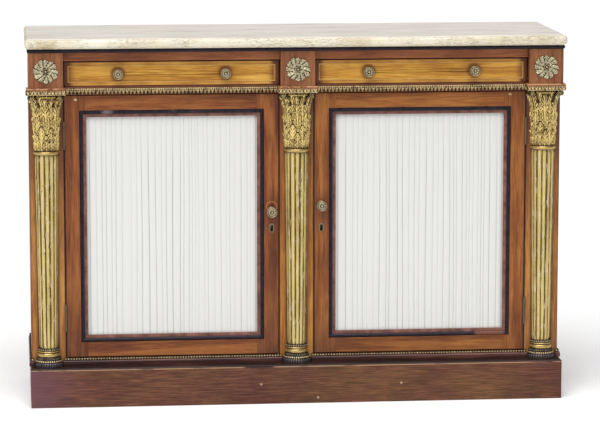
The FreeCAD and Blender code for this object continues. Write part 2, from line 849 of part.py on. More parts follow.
def capital_shape():
    """Bell with a ring below, leaves, a plain neck and a square abacus with corner horns."""
    ring, low, top, neck = [value(f"{part} / 2") for part in
                            ("capital_ring_width", "bell_low_width", "bell_top_width", "neck_width")]
    ring_z = value("capital_ring_height")
    abacus_z = value("capital_height - abacus_height")
    neck_z = abacus_z - value("neck_height")
    bell_height = neck_z - ring_z
    bell_shares = [number / BELL_STEPS for number in range(BELL_STEPS + 1)]

    def bell_radius(rise):
        return low + (top - low) * (rise / bell_height) ** 2

    profile = [(low, 0), (ring, ring_z / 2)]
    profile += [(bell_radius(bell_height * share), ring_z + bell_height * share) for share in bell_shares]
    profile += [(neck, neck_z), (neck, abacus_z)]
    bell = turned_facets(profile, BELL_SIDES)
    width, depth, height = [value(f"abacus_{part}") for part in ("width", "depth", "height")]
    abacus = Part.makeBox(width, depth, height, FreeCAD.Vector(-width / 2, -depth, abacus_z))
    count = SIZES["leaf_count"]
    step = math.pi / count
    leaves = [capital_leaf(step * number + step / 2, bell_radius, ring_z) for number in range(count)]
    horns = [capital_horn(side, top - value("horn_root_width / 4"), abacus_z) for side in SIDE_NAMES]
    front = Part.makeBox(2 * width, 2 * width, 2 * value("capital_height"))
    front.translate(FreeCAD.Vector(-width, -2 * width, -value("capital_height") / 2))
    return bell.fuse([abacus] + leaves + horns).common(front).removeSplitter()


def capitals():
    shape = capital_shape()
    members = []
    for name, centre in COLUMN_PLACES.items():
        item = doc.addObject("Part::Feature", f"{name}_capital")
        item.Shape = shape
        members.append(set_down(item, centre, "face_y", "capital_z"))
    return group("capitals", members)


def frieze_moulding():
    """Gilt strip over each door, hollowed from a wide top to a narrow foot."""
    members = []
    for side, name in SIDE_NAMES.items():
        body = doc.addObject("PartDesign::Body", f"{name}_leaf_strip")
        sketch = new_sketch(body, "YZ_Plane", "section")
        corners = [("0", "0"), ("-leaf_strip_low", "0"), ("-leaf_strip_top", "leaf_strip_height"),
                   ("0", "leaf_strip_height")]
        bulge = ("-(leaf_strip_low + leaf_strip_top) / 2 - leaf_strip_swell", "leaf_strip_height / 2")
        draw_outline(sketch, corners, {1: bulge})
        pad(body, sketch, "bay_outer_x - bay_inner_x")
        low_x = span(side, "bay_inner_x", "bay_outer_x")[0]
        top_z = "drawer_floor_z - mid_rail_lip_height"
        members.append(set_down(body, low_x, "face_y", f"{top_z} - leaf_strip_height"))
    return group("frieze_moulding", members)


# Hinges

def knuckle_levels(level, numbers, end_gap):
    """Z limits of some of the equal lengths along a pin, each drawn in at both ends by a gap."""
    step = "hinge_length / knuckle_count"
    return [(f"{level} + {number} * {step} + {end_gap}", f"{level} + {number + 1} * {step} - ({end_gap})")
            for number in numbers]


def hinge_leaf(label, side, plate, level, own, other, pinned):
    """A notched flat with its knuckles, and with the pin or the bore for it."""
    middle = f"{side} * hinge_x"
    clear = "(knuckle_width / 2 + fit_gap)"
    notch_x = (f"{middle} - {clear}", f"{middle} + {clear}")
    notch_y = (f"hinge_y - {clear}", f"hinge_y + {clear}")
    notches = [box(f"{label}_notch_{number}", notch_x, notch_y, z)
               for number, z in enumerate(knuckle_levels(level, other, "-knuckle_end_gap"), start=1)]
    solids = [cut(f"{label}_flat", plate, notches)]
    for number, (low, high) in enumerate(knuckle_levels(level, own, "0"), start=1):
        place = (middle, "hinge_y", low)
        solids.append(rod(f"{label}_knuckle_{number}", "knuckle_width", f"({high}) - ({low})", place))
    if pinned:
        inset = "hinge_length / knuckle_count / 2"
        place = (middle, "hinge_y", f"{level} + {inset}")
        solids.append(rod(f"{label}_pin", "pin_width", f"hinge_length - 2 * {inset}", place))
        return fuse(label, solids)
    place = (middle, "hinge_y", level)
    bore = rod(f"{label}_bore", "pin_width + 2 * pin_clearance", "hinge_length", place)
    return cut(label, fuse(f"{label}_solid", solids), [bore])


def hinges():
    """Leaves of all four hinges by owner, and the plates that cut their seats."""
    count = SIZES["knuckle_count"]
    carcase_leaves, door_leaves = [], {LEFT: [], RIGHT: []}
    carcase_plates, door_plates = {LEFT: [], RIGHT: []}, {LEFT: [], RIGHT: []}
    for side, name in SIDE_NAMES.items():
        for end, level in hinge_levels().items():
            label = f"{name}_{end}_hinge"
            fixed_x = span(side, "opening_outer_x", "opening_outer_x + leaf_thick")
            moving_x = span(side, "door_outer_x - leaf_thick", "door_outer_x")
            fixed = leaf_plate(f"{label}_fixed_plate", fixed_x, level)
            moving = leaf_plate(f"{label}_moving_plate", moving_x, level)
            even, odd = range(0, count, 2), range(1, count, 2)
            carcase_leaves.append(hinge_leaf(f"{label}_fixed", side, fixed, level, even, odd, True))
            door_leaves[side].append(hinge_leaf(f"{label}_moving", side, moving, level, odd, even, False))
            carcase_plates[side].append(fixed)
            door_plates[side].append(moving)
    nodes = [group("carcase_hinge_leaves", carcase_leaves)]
    nodes += [group(f"{name}_hinge_leaves", door_leaves[side]) for side, name in SIDE_NAMES.items()]
    return nodes, carcase_plates, door_plates


# Doors

def knob(label, seat_thick, place):
    """Knob in narrow facets, with a spreading foot and a shank through the wood behind it."""
    shank, foot, neck, head = [value(f"knob_{part}width / 2") for part in ("shank_", "foot_", "neck_", "")]
    widest = value("knob_neck_length + knob_flare_length")
    dome = value("knob_length") - widest
    rings = [(shank, -value(seat_thick)), (shank, 0), (foot, 0), (foot, value("knob_foot_thick")),
             (neck, value("knob_neck_length"))]
    rings += [(head * width_share, widest + dome * rise_share)
              for width_share, rise_share in zip(KNOB_WIDTH_SHARES, KNOB_RISE_SHARES)]
    item = doc.addObject("Part::Feature", label)
    item.Shape = turned_facets(rings, KNOB_SIDES)
    item.Placement.Rotation = FreeCAD.Rotation(FreeCAD.Vector(1, 0, 0), 90)
    return set_down(item, *place)


def keyhole(label, side, y_low, y_high):
    """Round eye with a slot hanging from it, cut from front to back."""
    x = f"{side} * knob_from_centre"
    eye = rod(f"{label}_eye", "keyhole_eye", f"{y_high} - ({y_low})", (x, y_high, "keyhole_z"), True)
    half = "keyhole_slot / 2"
    slot = box(f"{label}_slot", (f"{x} - {half}", f"{x} + {half}"), (y_low, y_high),
               ("keyhole_z - keyhole_drop", "keyhole_z"))
    return fuse(label, [eye, slot])


def escutcheon(side):
    """Plate with round ends, let into the stile, and the blank that cuts its seat."""
    name = SIDE_NAMES[side]
    x = f"{side} * knob_from_centre"
    half = "escutcheon_width / 2"
    middle = "keyhole_z - (keyhole_drop - keyhole_eye / 2) / 2"
    reach = "(escutcheon_height - escutcheon_width) / 2"
    y = ("face_y - escutcheon_proud", "face_y - escutcheon_proud + escutcheon_thick")
    low, high = f"{middle} - {reach}", f"{middle} + {reach}"
    flat = box(f"{name}_escutcheon_flat", (f"{x} - {half}", f"{x} + {half}"), y, (low, high))
    ends = [rod(f"{name}_escutcheon_end_{number}", "escutcheon_width", "escutcheon_thick", (x, y[1], z), True)
            for number, z in enumerate((low, high))]
    blank = fuse(f"{name}_escutcheon_blank", [flat] + ends)
    tool = keyhole(f"{name}_escutcheon_keyhole", side, f"{y[0]} - overrun", f"{y[1]} + overrun")
    return cut(f"{name}_escutcheon", blank, [tool]), blank


def lock(side):
    """Hollow case let into the back of the stile, its bolt, and the case as a cutter."""
    name = SIDE_NAMES[side]
    x = span(side, "door_inner_x", "door_inner_x + lock_width")
    z = ("lock_low_z", "lock_low_z + lock_height")
    case = box(f"{name}_lock_block", x, ("lock_y", "door_back_y"), z)
    hollow_x = span(side, "door_inner_x + lock_wall", "door_inner_x + lock_width - lock_wall")
    hollow = box(f"{name}_lock_hollow", hollow_x, ("lock_y + lock_wall", "door_back_y - lock_wall"),
                 ("lock_low_z + lock_wall", "lock_low_z + lock_height - lock_wall"))
    slot_x = span(side, "door_inner_x - overrun", "door_inner_x + lock_wall + overrun")
    slot = box(f"{name}_bolt_slot", slot_x, *bolt_passage())
    entry = keyhole(f"{name}_lock_keyhole", side, "lock_y - overrun", "lock_y + lock_wall + overrun")
    finished = cut(f"{name}_lock_case", case, [fuse(f"{name}_lock_cutter", [hollow, slot, entry])])
    bolt_x = span(side, "door_inner_x", "door_inner_x + bolt_length")
    bolt_z = ("bolt_z", "bolt_z + bolt_height")
    bolt = box(f"{name}_lock_bolt", bolt_x, ("bolt_y", "bolt_y + bolt_thick"), bolt_z)
    return finished, bolt, case


def frame_depths():
    """Y limits of the front recess, the back rebate and the tenons of a door frame."""
    recess = ("face_y - overrun", "strip_y")
    rebate = ("strip_y + lip_thick", "door_back_y + overrun")
    tenon = ("(face_y + door_back_y - tenon_thick) / 2", "(face_y + door_back_y + tenon_thick) / 2")
    return recess, rebate, tenon


def door_stiles(side, hinge_cutters, lock_cutters):
    name = SIDE_NAMES[side]
    z = ("door_low_z", "door_high_z")
    y = ("face_y", "door_back_y")
    sight = {"hinge": "door_outer_x - stile_width", "lock": "door_inner_x + stile_width"}
    edge = {"hinge": "door_outer_x", "lock": "door_inner_x"}
    inward = {"hinge": 1, "lock": -1}
    recess_z = ("door_low_z + frame_width", "door_high_z - frame_width")
    rebate_z = ("door_low_z + stile_width - rebate_width", "door_high_z - stile_width + rebate_width")
    made = []
    for kind in ("hinge", "lock"):
        label = f"{name}_{kind}_stile"

        def reach(width, past):
            """X limits from past the sight edge to a distance inside the stile."""
            inside = f"{sight[kind]} + {inward[kind]} * ({width})"
            outside = f"{sight[kind]} - {inward[kind]} * ({past})"
            pair = (outside, inside) if kind == "hinge" else (inside, outside)
            return span(side, *pair)

        pair = (sight[kind], edge[kind]) if kind == "hinge" else (edge[kind], sight[kind])
        blank = box(f"{label}_blank", span(side, *pair), y, z)
        recess_y, rebate_y, tenon_y = frame_depths()
        tools = [
            box(f"{label}_recess", reach("strip_width + lip_width", "overrun"), recess_y, recess_z),
            box(f"{label}_rebate", reach("rebate_width", "overrun"), rebate_y, rebate_z),
        ]
        for end, tenon_z in tenon_levels().items():
            tools.append(box(f"{label}_{end}_mortise", reach("tenon_length", "overrun"), tenon_y, tenon_z))
        tools += hinge_cutters if kind == "hinge" else lock_cutters
        made.append(cut(label, blank, tools))
    return group(f"{name}_door_stiles", made)


def lock_stile_cutters(side, escutcheon_blank, lock_block):
    """Seats of escutcheon and lock joined by the keyhole, and the holes for the knob."""
    name = SIDE_NAMES[side]
    x = f"{side} * knob_from_centre"
    through = keyhole(f"{name}_stile_keyhole", side, "face_y - overrun", "lock_y + overrun")
    tools = [fuse(f"{name}_lock_seat", [escutcheon_blank, lock_block, through])]
    holes = {"knob": f"{name}_knob_z"}
    if side == LEFT:
        holes["old_knob"] = "left_knob_z + old_hole_rise"
    length = "door_thick + 2 * overrun"
    for kind, level in holes.items():
        place = (x, "door_back_y + overrun", level)
        tools.append(rod(f"{name}_{kind}_hole", "knob_shank_width", length, place, True))
    return tools


def tenon_levels():
    low = ("door_low_z + tenon_shoulder", "door_low_z + frame_width")
    high = ("door_high_z - frame_width", "door_high_z - tenon_shoulder")
    return {"low": low, "high": high}


def door_rails(side):
    name = SIDE_NAMES[side]
    near, far = "door_inner_x + stile_width", "door_outer_x - stile_width"
    x = span(side, near, far)
    tenon_x = span(side, f"{near} - tenon_length", f"{far} + tenon_length")
    recess_y, rebate_y, tenon_y = frame_depths()
    made = []
    for end, tenon_z in tenon_levels().items():
        label = f"{name}_{end}_rail"
        edge = "door_low_z" if end == "low" else "door_high_z"
        inward = "" if end == "low" else "-"

        def reach(start, finish):
            pair = (f"{edge} + {inward}({start})", f"{edge} + {inward}({finish})")
            return pair if end == "low" else pair[::-1]

        blank = box(f"{label}_blank", x, ("face_y", "door_back_y"), reach("0", "stile_width"))
        past = "stile_width + overrun"
        tools = [
            box(f"{label}_recess", x, recess_y, reach("frame_width", past)),
            box(f"{label}_rebate", x, rebate_y, reach("stile_width - rebate_width", past)),
        ]
        tenon = box(f"{label}_tenon", tenon_x, tenon_y, tenon_z)
        made.append(fuse(label, [cut(f"{label}_shaped", blank, tools), tenon]))
    return group(f"{name}_door_rails", made)


def door_moulding(side):
    """Four mitred lengths of ebonised moulding in the front recess of the frame."""
    name = SIDE_NAMES[side]
    outer = ("door_inner_x + frame_width", "door_low_z + frame_width",
             "door_outer_x - frame_width", "door_high_z - frame_width")
    signs = (1, 1, -1, -1)
    inner = [f"{text} + {sign} * strip_width" for text, sign in zip(outer, signs)]

    def ring(limits):
        left, low, right, high = limits
        return [(left, low), (right, low), (right, high), (left, high)]

    rings = [[(f"{side} * ({x})", z) for x, z in ring(limits)] for limits in (outer, inner)]
    members = []
    for number in range(len(signs)):
        step = (number + 1) % len(signs)
        corners = [rings[0][number], rings[0][step], rings[1][step], rings[1][number]]
        members.append(strip(f"{name}_strip_{number + 1}", "XZ_Plane", corners, "lip_sink + strip_proud",
                             ("0", "strip_y", "0"), [(0, 1), (2, 1)], "strip_bevel", "Chamfer"))
    return group(f"{name}_door_moulding", members)


def silk_panel(side):
    """Silk in upright pleats: one outline of narrow flats, front and back, drawn up to its height."""
    low_x = value("door_inner_x + stile_width - silk_tuck")
    high_x = value("door_outer_x - stile_width + silk_tuck")
    low_z = value("door_low_z + stile_width - silk_tuck")
    high_z = value("door_high_z - stile_width + silk_tuck")
    count = SIZES["pleat_count"]
    width_shares = [1 + PLEAT_SWING_SHARE * math.sin(PLEAT_TURN * number) for number in range(count)]
    valley = low_x
    valleys = [valley]
    for share in width_shares:
        valley += (high_x - low_x) * share / sum(width_shares)
        valleys.append(valley)
    rise, thick = value("pleat_rise"), value("silk_thick")

    def spot(x, depth):
        return FreeCAD.Vector(side * x, depth, low_z)

    def face_spots(depth):
        spots = [spot(valleys[0], depth)]
        for start, finish in zip(valleys, valleys[1:]):
            shoulder = PLEAT_SHOULDER_SHARE * (finish - start)
            spots += [spot(start + shoulder, depth - rise), spot(finish - shoulder, depth - rise),
                      spot(finish, depth)]
        return spots

    outline = face_spots(rise) + face_spots(rise + thick)[::-1]
    item = doc.addObject("Part::Feature", f"{SIDE_NAMES[side]}_silk")
    face = Part.Face(Part.makePolygon(outline + outline[:1]))
    item.Shape = face.extrude(FreeCAD.Vector(0, 0, high_z - low_z))
    return set_down(item, y="silk_y")


def door_panel(side):
    """Thin board behind the silk, in the rebate of the frame."""
    margin = "stile_width - rebate_width + panel_play"
    x = span(side, f"door_inner_x + {margin}", f"door_outer_x - ({margin})")
    z = (f"door_low_z + {margin}", f"door_high_z - ({margin})")
    return box(f"{SIDE_NAMES[side]}_door_panel", x, ("panel_y", "panel_y + panel_thick"), z)


# Drawers

def drawer_knob_places(side):
    """Middles of the two knobs on a drawer front."""
    z = "(drawer_low_z + drawer_high_z) / 2"
    return [(f"{side} * bay_middle_x + {step} * drawer_knob_spread", "drawer_front_y", z)
            for step in SIDE_NAMES]


def drawer_front(side):
    """Front with a raised bead round its field and holes for the shanks of its knobs."""
    name = SIDE_NAMES[side]
    body = doc.addObject("PartDesign::Body", f"{name}_drawer_front_board")
    half = "(drawer_outer_x - drawer_inner_x) / 2"
    height = "drawer_high_z - drawer_low_z"

    def frame(sketch, margin):
        low_x, high_x = f"{margin} - {half}", f"{half} - ({margin})"
        low_z, high_z = margin, f"{height} - ({margin})"
        draw_outline(sketch, [(low_x, low_z), (high_x, low_z), (high_x, high_z), (low_x, high_z)])

    outline = new_sketch(body, "XZ_Plane")
    frame(outline, "0")
    pad(body, outline, "drawer_front_thick", "front")
    bead = new_sketch(body, "XZ_Plane", "bead_outline")
    frame(bead, "cock_bead_margin")
    frame(bead, "cock_bead_margin + cock_bead_width")
    pad(body, bead, "drawer_front_thick + cock_bead_proud", "cock_bead")
    set_down(body, f"{side} * bay_middle_x", "drawer_front_back_y", "drawer_low_z")
    holes = []
    for number, (x, y, z) in enumerate(drawer_knob_places(side), start=1):
        place = (x, "drawer_front_back_y + overrun", z)
        length = "drawer_front_thick + 2 * overrun"
        holes.append(rod(f"{name}_drawer_hole_{number}", "knob_shank_width", length, place, True))
    return cut(f"{name}_drawer_front", body, holes)


def drawer_box(side):
    """Sides, back and bottom; the bottom is housed in the sides."""
    name = SIDE_NAMES[side]
    inner_x, outer_x = "drawer_inner_x + drawer_wall", "drawer_outer_x - drawer_wall"
    z = ("drawer_low_z", "drawer_low_z + drawer_wall_height")
    y = ("drawer_front_back_y", "drawer_back_y")
    bottom_x = span(side, f"{inner_x} - drawer_groove", f"{outer_x} + drawer_groove")
    bottom_y = ("drawer_front_back_y", "drawer_back_y - drawer_wall")
    low_z = "drawer_low_z + drawer_bottom_rise"
    bottom = box(f"{name}_drawer_bottom", bottom_x, bottom_y, (low_z, f"{low_z} + drawer_bottom_thick"))
    members = [bottom]
    for part, near, far in (("inner", "drawer_inner_x", inner_x), ("outer", outer_x, "drawer_outer_x")):
        blank = box(f"{name}_drawer_{part}_blank", span(side, near, far), y, z)
        members.append(cut(f"{name}_drawer_{part}_side", blank, [bottom]))
    back_y = ("drawer_back_y - drawer_wall", "drawer_back_y")
    members.append(box(f"{name}_drawer_back", span(side, inner_x, outer_x), back_y, z))
    return group(f"{name}_drawer_box", members)


def drawer_knobs(side):
    name = SIDE_NAMES[side]
    members = [knob(f"{name}_drawer_knob_{number}", "drawer_front_thick", place)
               for number, place in enumerate(drawer_knob_places(side), start=1)]
    return group(f"{name}_drawer_knobs", members)


# Inside of the carcase

def drawer_guides():
    members = []
    y = ("pilaster_back_y", "board_back_y")
    z = ("drawer_floor_z", "drawer_floor_z + guide_height")
    for side, name in SIDE_NAMES.items():
        members.append(box(f"{name}_outer_guide", span(side, "opening_outer_x", "side_inner_x"), y, z))
        members.append(box(f"{name}_inner_guide", span(side, "partition_thick / 2", "opening_inner_x"), y, z))
    return group("drawer_guides", members)


def drawer_stops():
    """Blocks on the dustboards behind the drawer fronts."""
    members = []
    y = ("drawer_front_back_y + fit_gap", "drawer_front_back_y + fit_gap + drawer_stop_length")
    z = ("drawer_floor_z", "drawer_floor_z + drawer_stop_height")
    for side, name in SIDE_NAMES.items():
        for number, step in enumerate(SIDE_NAMES, start=1):
            low = f"{side} * bay_middle_x + {step} * drawer_stop_spread - drawer_stop_width / 2"
            x = (low, f"{low} + drawer_stop_width")
            members.append(box(f"{name}_drawer_stop_{number}", x, y, z))
    return group("drawer_stops", members)


def door_stops():
    """Strips behind the centre pilaster that the meeting edges of the doors shut against."""
    members = []
    y = ("pilaster_back_y", "pilaster_back_y + door_stop_thick")
    for side, name in SIDE_NAMES.items():
        x = span(side, "opening_inner_x - door_stop_hold", "opening_inner_x + door_stop_reach")
        members.append(box(f"{name}_door_stop", x, y, ("floor_z", "mid_rail_z")))
    return group("door_stops", members)


def shelves():
    boards = []
    cleats = []
    near, far = "partition_thick / 2", "side_inner_x"
    ends = {"inner": (near, f"{near} + cleat_width"), "outer": (f"{far} - cleat_width", far)}
    y = ("shelf_y", "board_back_y")
    for side, name in SIDE_NAMES.items():
        x = span(side, f"{near} + shelf_play", f"{far} - shelf_play")
        boards.append(box(f"{name}_shelf", x, y, ("shelf_z", "shelf_z + shelf_thick")))
        for part, limits in ends.items():
            z = ("shelf_z - cleat_height", "shelf_z")
            cleats.append(box(f"{name}_{part}_cleat", span(side, *limits), y, z))
    return [group("shelves", boards), group("shelf_cleats", cleats)]


def door(side, hinge_cutters):
    """Nodes of one door and its lock, without the hinge leaves."""
    name = SIDE_NAMES[side]
    plate, plate_blank = escutcheon(side)
    lock_case, bolt, lock_block = lock(side)
    stiles = door_stiles(side, hinge_cutters, lock_stile_cutters(side, plate_blank, lock_block))
    place = (f"{side} * knob_from_centre", "face_y", f"{name}_knob_z")
    handle = knob(f"{name}_door_knob", "door_thick", place)
    return [stiles, door_rails(side), door_moulding(side), silk_panel(side), door_panel(side),
            handle, plate, lock_case, bolt]


def build():
    """All nodes of the cabinet."""
    boards = dustboards()
    nodes = [marble_slab(), eaves_moulding(), sub_top(), bottom_board(), back_boards(), front_rails()]
    nodes += carcase_sides(boards)
    nodes += [central_partition(boards), group("dustboards", list(boards.values()))]
    nodes += [drawer_guides(), drawer_stops(), door_stops()]
    nodes += shelves()
    nodes += [plinth(), plinth_cap()]
    nodes.append(base_run("base_moulding", "ledge_z", "base_moulding_height", "base_moulding_front",
                          "base_moulding_side", "base_moulding_round"))
    nodes.append(base_run("base_bead", "ledge_z + base_moulding_height", "base_bead_height",
                          "base_bead_front", "base_bead_side", "base_bead_round"))
    hinge_nodes, carcase_plates, door_plates = hinges()
    nodes += hinge_nodes
    nodes += pilasters(carcase_plates, [bolt_mortise(side) for side in SIDE_NAMES])
    nodes += [frieze_blocks(), rosettes(), frieze_moulding(), column_bases(), column_feet(), capitals()]
    nodes += [column_shaft(name, centre) for name, centre in COLUMN_PLACES.items()]
    for side in SIDE_NAMES:
        nodes += door(side, door_plates[side])
        nodes += [drawer_front(side), drawer_box(side), drawer_knobs(side)]
    return nodes


def check_document():
    doc.recompute()
    for item in doc.Objects:
        if "Invalid" in item.State or "Error" in item.State:
            raise RuntimeError(f"{item.Label} did not build: {item.State}")


def write_parts(nodes):
    os.makedirs("parts", exist_ok=True)
    for node in nodes:
        if node.Shape.isNull() or not node.Shape.isValid():
            raise RuntimeError(f"{node.Label} has no valid shape")
    for node in nodes:
        node.Shape.exportStep(f"parts/{node.Label}.step")


fill_sheet(sizes, SIZES, "")
fill_sheet(places, {name: qualified(text) for name, text in PLACES.items()}, "=")
doc.recompute()
finished_nodes = build()
check_document()
write_parts(finished_nodes)
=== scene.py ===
import math

import bpy
import numpy as np
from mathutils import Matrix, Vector


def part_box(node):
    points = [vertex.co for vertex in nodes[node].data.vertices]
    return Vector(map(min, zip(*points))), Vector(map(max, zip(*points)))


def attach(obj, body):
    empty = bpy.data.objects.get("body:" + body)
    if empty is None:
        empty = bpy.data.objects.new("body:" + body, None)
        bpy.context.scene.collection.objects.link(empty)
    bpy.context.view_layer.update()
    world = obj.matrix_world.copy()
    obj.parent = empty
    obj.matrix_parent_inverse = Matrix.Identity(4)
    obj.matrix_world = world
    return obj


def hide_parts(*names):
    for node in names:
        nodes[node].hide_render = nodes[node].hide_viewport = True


# Side cabinet with a marble slab, silk doors and gilt half columns.
# Lengths are millimetres in the frame of the solids. Floor, lights and camera are set in metres.

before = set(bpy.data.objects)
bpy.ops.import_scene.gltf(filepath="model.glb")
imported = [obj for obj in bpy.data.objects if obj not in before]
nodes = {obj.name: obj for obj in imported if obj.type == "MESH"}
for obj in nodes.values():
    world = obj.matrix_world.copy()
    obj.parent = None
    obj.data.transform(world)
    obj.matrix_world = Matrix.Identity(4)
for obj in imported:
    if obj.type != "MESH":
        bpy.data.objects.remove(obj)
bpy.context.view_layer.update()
MM = 0.001
X, Y, Z = 0, 1, 2
UP = np.array((0.0, 0.0, 1.0))
FRONT = (0, -1, 0)
SIDES = {"left": -1, "right": 1}
HALF_TURN, FULL_TURN = math.pi, 2 * math.pi


def limits(node):
    """Lowest and highest corner of a node."""
    return [np.array(corner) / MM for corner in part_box(node)]


def middle(node):
    """Centre of a node's box."""
    low, high = limits(node)
    return (low + high) / 2


def srgb(code):
    """Linear colour of a six digit tone."""
    tones = [int(code[at:at + 2], 16) / 255 for at in (0, 2, 4)]
    return tuple(((t + 0.055) / 1.055) ** 2.4 if t > 0.04045 else t / 12.92 for t in tones) + (1.0,)


def ease(low, high, x):
    """Smooth step from nought at low to one at high; low may be the larger of the two."""
    t = np.clip((x - low) / (high - low), 0, 1)
    return t * t * (3 - 2 * t)


def mound(x, centre=0.0, half=1.0):
    """Parabola of height one over the centre, nought from half a width outward."""
    return np.clip(1 - ((x - centre) / half) ** 2, 0, 1)


def dome(x, centre=0.0, half=1.0):
    """Half circle of height one over the centre."""
    return np.sqrt(mound(x, centre, half))


def ridge(x, width):
    """Narrow rounded ridge over nought."""
    return np.exp(-(x / width) ** 2)


# Places taken from the frame

column_box = {place: limits(f"column_{place}") for place in ("left", "centre", "right")}
column_x = {place: (low[X] + high[X]) / 2 for place, (low, high) in column_box.items()}
face_y = column_box["centre"][1][Y]
BACK_BOARDS = 7


def drawer_knob_seats(side):
    """Centres of a drawer's two knobs on its front."""
    low, high = limits(f"{side}_drawer_knobs")
    radius = (high[Z] - low[Z]) / 2
    front = limits(f"{side}_drawer_front")[0][Y]
    return [(x, front, (low[Z] + high[Z]) / 2) for x in (low[X] + radius, high[X] - radius)]


# Materials

class Tree:
    """One material and the steps that its nodes are made with."""

    def __init__(self, name):
        self.material = bpy.data.materials.new(name)
        self.material.use_nodes = True
        self.nodes = self.material.node_tree.nodes
        self.links = self.material.node_tree.links
        self.shader = self.nodes["Principled BSDF"]
        self.place = self.nodes.new("ShaderNodeTexCoord").outputs["Object"]

    def put(self, socket, source):
        """Links a source to a socket, or sets a plain value on it."""
        if isinstance(source, bpy.types.NodeSocket):
            self.links.new(source, socket)
        else:
            socket.default_value = source

    def make(self, kind, **inputs):
        node = self.nodes.new(kind)
        for name, source in inputs.items():
            self.put(node.inputs[name.replace("_", " ")], source)
        return node

    def math(self, kind, first, second=0.0, clamp=False):
        node = self.nodes.new("ShaderNodeMath")
        node.operation = kind
        node.use_clamp = clamp
        self.put(node.inputs[0], first)
        self.put(node.inputs[1], second)
        return node.outputs[0]

    def times(self, first, second):
        return self.math("MULTIPLY", first, second)

    def plus(self, first, second, clamp=False):
        return self.math("ADD", first, second, clamp)

    def minus(self, first, second):
        return self.math("SUBTRACT", first, second)

    def swing(self, noise, amount):
        """A noise moved to a mean of nought and scaled."""
        return self.times(self.minus(noise, 0.5), amount)

    def coords(self, scale=(1, 1, 1), shift=(0, 0, 0)):
        return self.make("ShaderNodeMapping", Vector=self.place, Scale=scale, Location=shift).outputs[0]

    def axis(self, index):
        return self.make("ShaderNodeSeparateXYZ", Vector=self.place).outputs[index]

    def noise(self, vector, scale, detail=3.0, roughness=0.5, distortion=0.0):
        node = self.make("ShaderNodeTexNoise", Vector=vector, Scale=scale, Detail=detail,
                         Roughness=roughness, Distortion=distortion)
        return node.outputs[0]

    def cells(self, vector, scale):
        return self.make("ShaderNodeTexVoronoi", Vector=vector, Scale=scale).outputs["Distance"]

    def attribute(self, name):
        node = self.nodes.new("ShaderNodeAttribute")
        node.attribute_name = name
        return node.outputs["Fac"]

    def range(self, source, low, high, start=0.0, finish=1.0):
        """Smooth step from start to finish as the source goes from low to high."""
        node = self.nodes.new("ShaderNodeMapRange")
        node.interpolation_type = "SMOOTHSTEP"
        for index, item in enumerate((source, low, high, start, finish)):
            self.put(node.inputs[index], item)
        return node.outputs[0]

    def patches(self, scale, detail, low, high, stretch=(1, 1, 1)):
        """Soft blotches where a noise is over a level."""
        return self.range(self.noise(self.coords(stretch), scale, detail), low, high)

    def ramp(self, source, *stops):
        """Colours along a source; each stop is a spot and a six digit tone."""
        node = self.nodes.new("ShaderNodeValToRGB")
        marks = node.color_ramp.elements
        while len(marks) < len(stops):
            marks.new(0.5)
        for mark, (spot, tone) in zip(marks, stops):
            mark.position = spot
            mark.color = srgb(tone)
        self.put(node.inputs[0], source)
        return node.outputs[0]

    def mix(self, share, first, second):
        node = self.nodes.new("ShaderNodeMix")
        node.data_type = "RGBA"
        self.put(node.inputs[0], share)
        self.put(node.inputs[6], first)
        self.put(node.inputs[7], second)
        return node.outputs[2]

    def tint(self, colour, share, tone, strength=1.0):
        """Lays a six digit tone over a colour."""
        if strength != 1.0:
            share = self.times(share, strength)
        return self.mix(share, colour, srgb(tone))

    def near(self, spot, inner, outer):
        """One at a spot, nought past the outer radius."""
        node = self.nodes.new("ShaderNodeVectorMath")
        node.operation = "DISTANCE"
        self.put(node.inputs[0], self.place)
        node.inputs[1].default_value = tuple(value * MM for value in spot)
        return self.range(node.outputs["Value"], inner * MM, outer * MM, 1.0, 0.0)

    def along(self, axis, low, high, start=0.0, finish=1.0):
        """Smooth step between two levels along an axis."""
        return self.range(self.axis(axis), low * MM, high * MM, start, finish)

    def within(self, axis, low, high, soft):
        """One between two levels along an axis, nought outside."""
        rise = self.along(axis, low - soft, low + soft)
        fall = self.along(axis, high - soft, high + soft, 1.0, 0.0)
        return self.times(rise, fall)

    def panel(self, low, high, margin, soft=0.3):
        """One inside a box seen from the front, a margin in from its edges."""
        level = self.within(X, low[X] + margin, high[X] - margin, soft)
        return self.times(level, self.within(Z, low[Z] + margin, high[Z] - margin, soft))

    def ends(self, low, high, margin, soft, strength):
        """A strength near the left and right end of a box, nought between them."""
        between = self.within(X, low[X] + margin, high[X] - margin, soft)
        return self.range(between, 0.0, 1.0, strength, 0.0)

    def bump(self, height, depth, strength):
        return self.make("ShaderNodeBump", Height=height, Distance=depth * MM, Strength=strength).outputs[0]

    def finish(self, **inputs):
        for name, source in inputs.items():
            self.put(self.shader.inputs[name.replace("_", " ")], source)
        return self.material


GRAIN = {"x": (0.05, 1, 1), "y": (1, 0.05, 1), "z": (1, 1, 0.05), "level": (0.035, 0.035, 1)}
BAND_SHARE, FIBRE_SHARE, TONE_SPREAD = 0.9, 0.5, 0.27


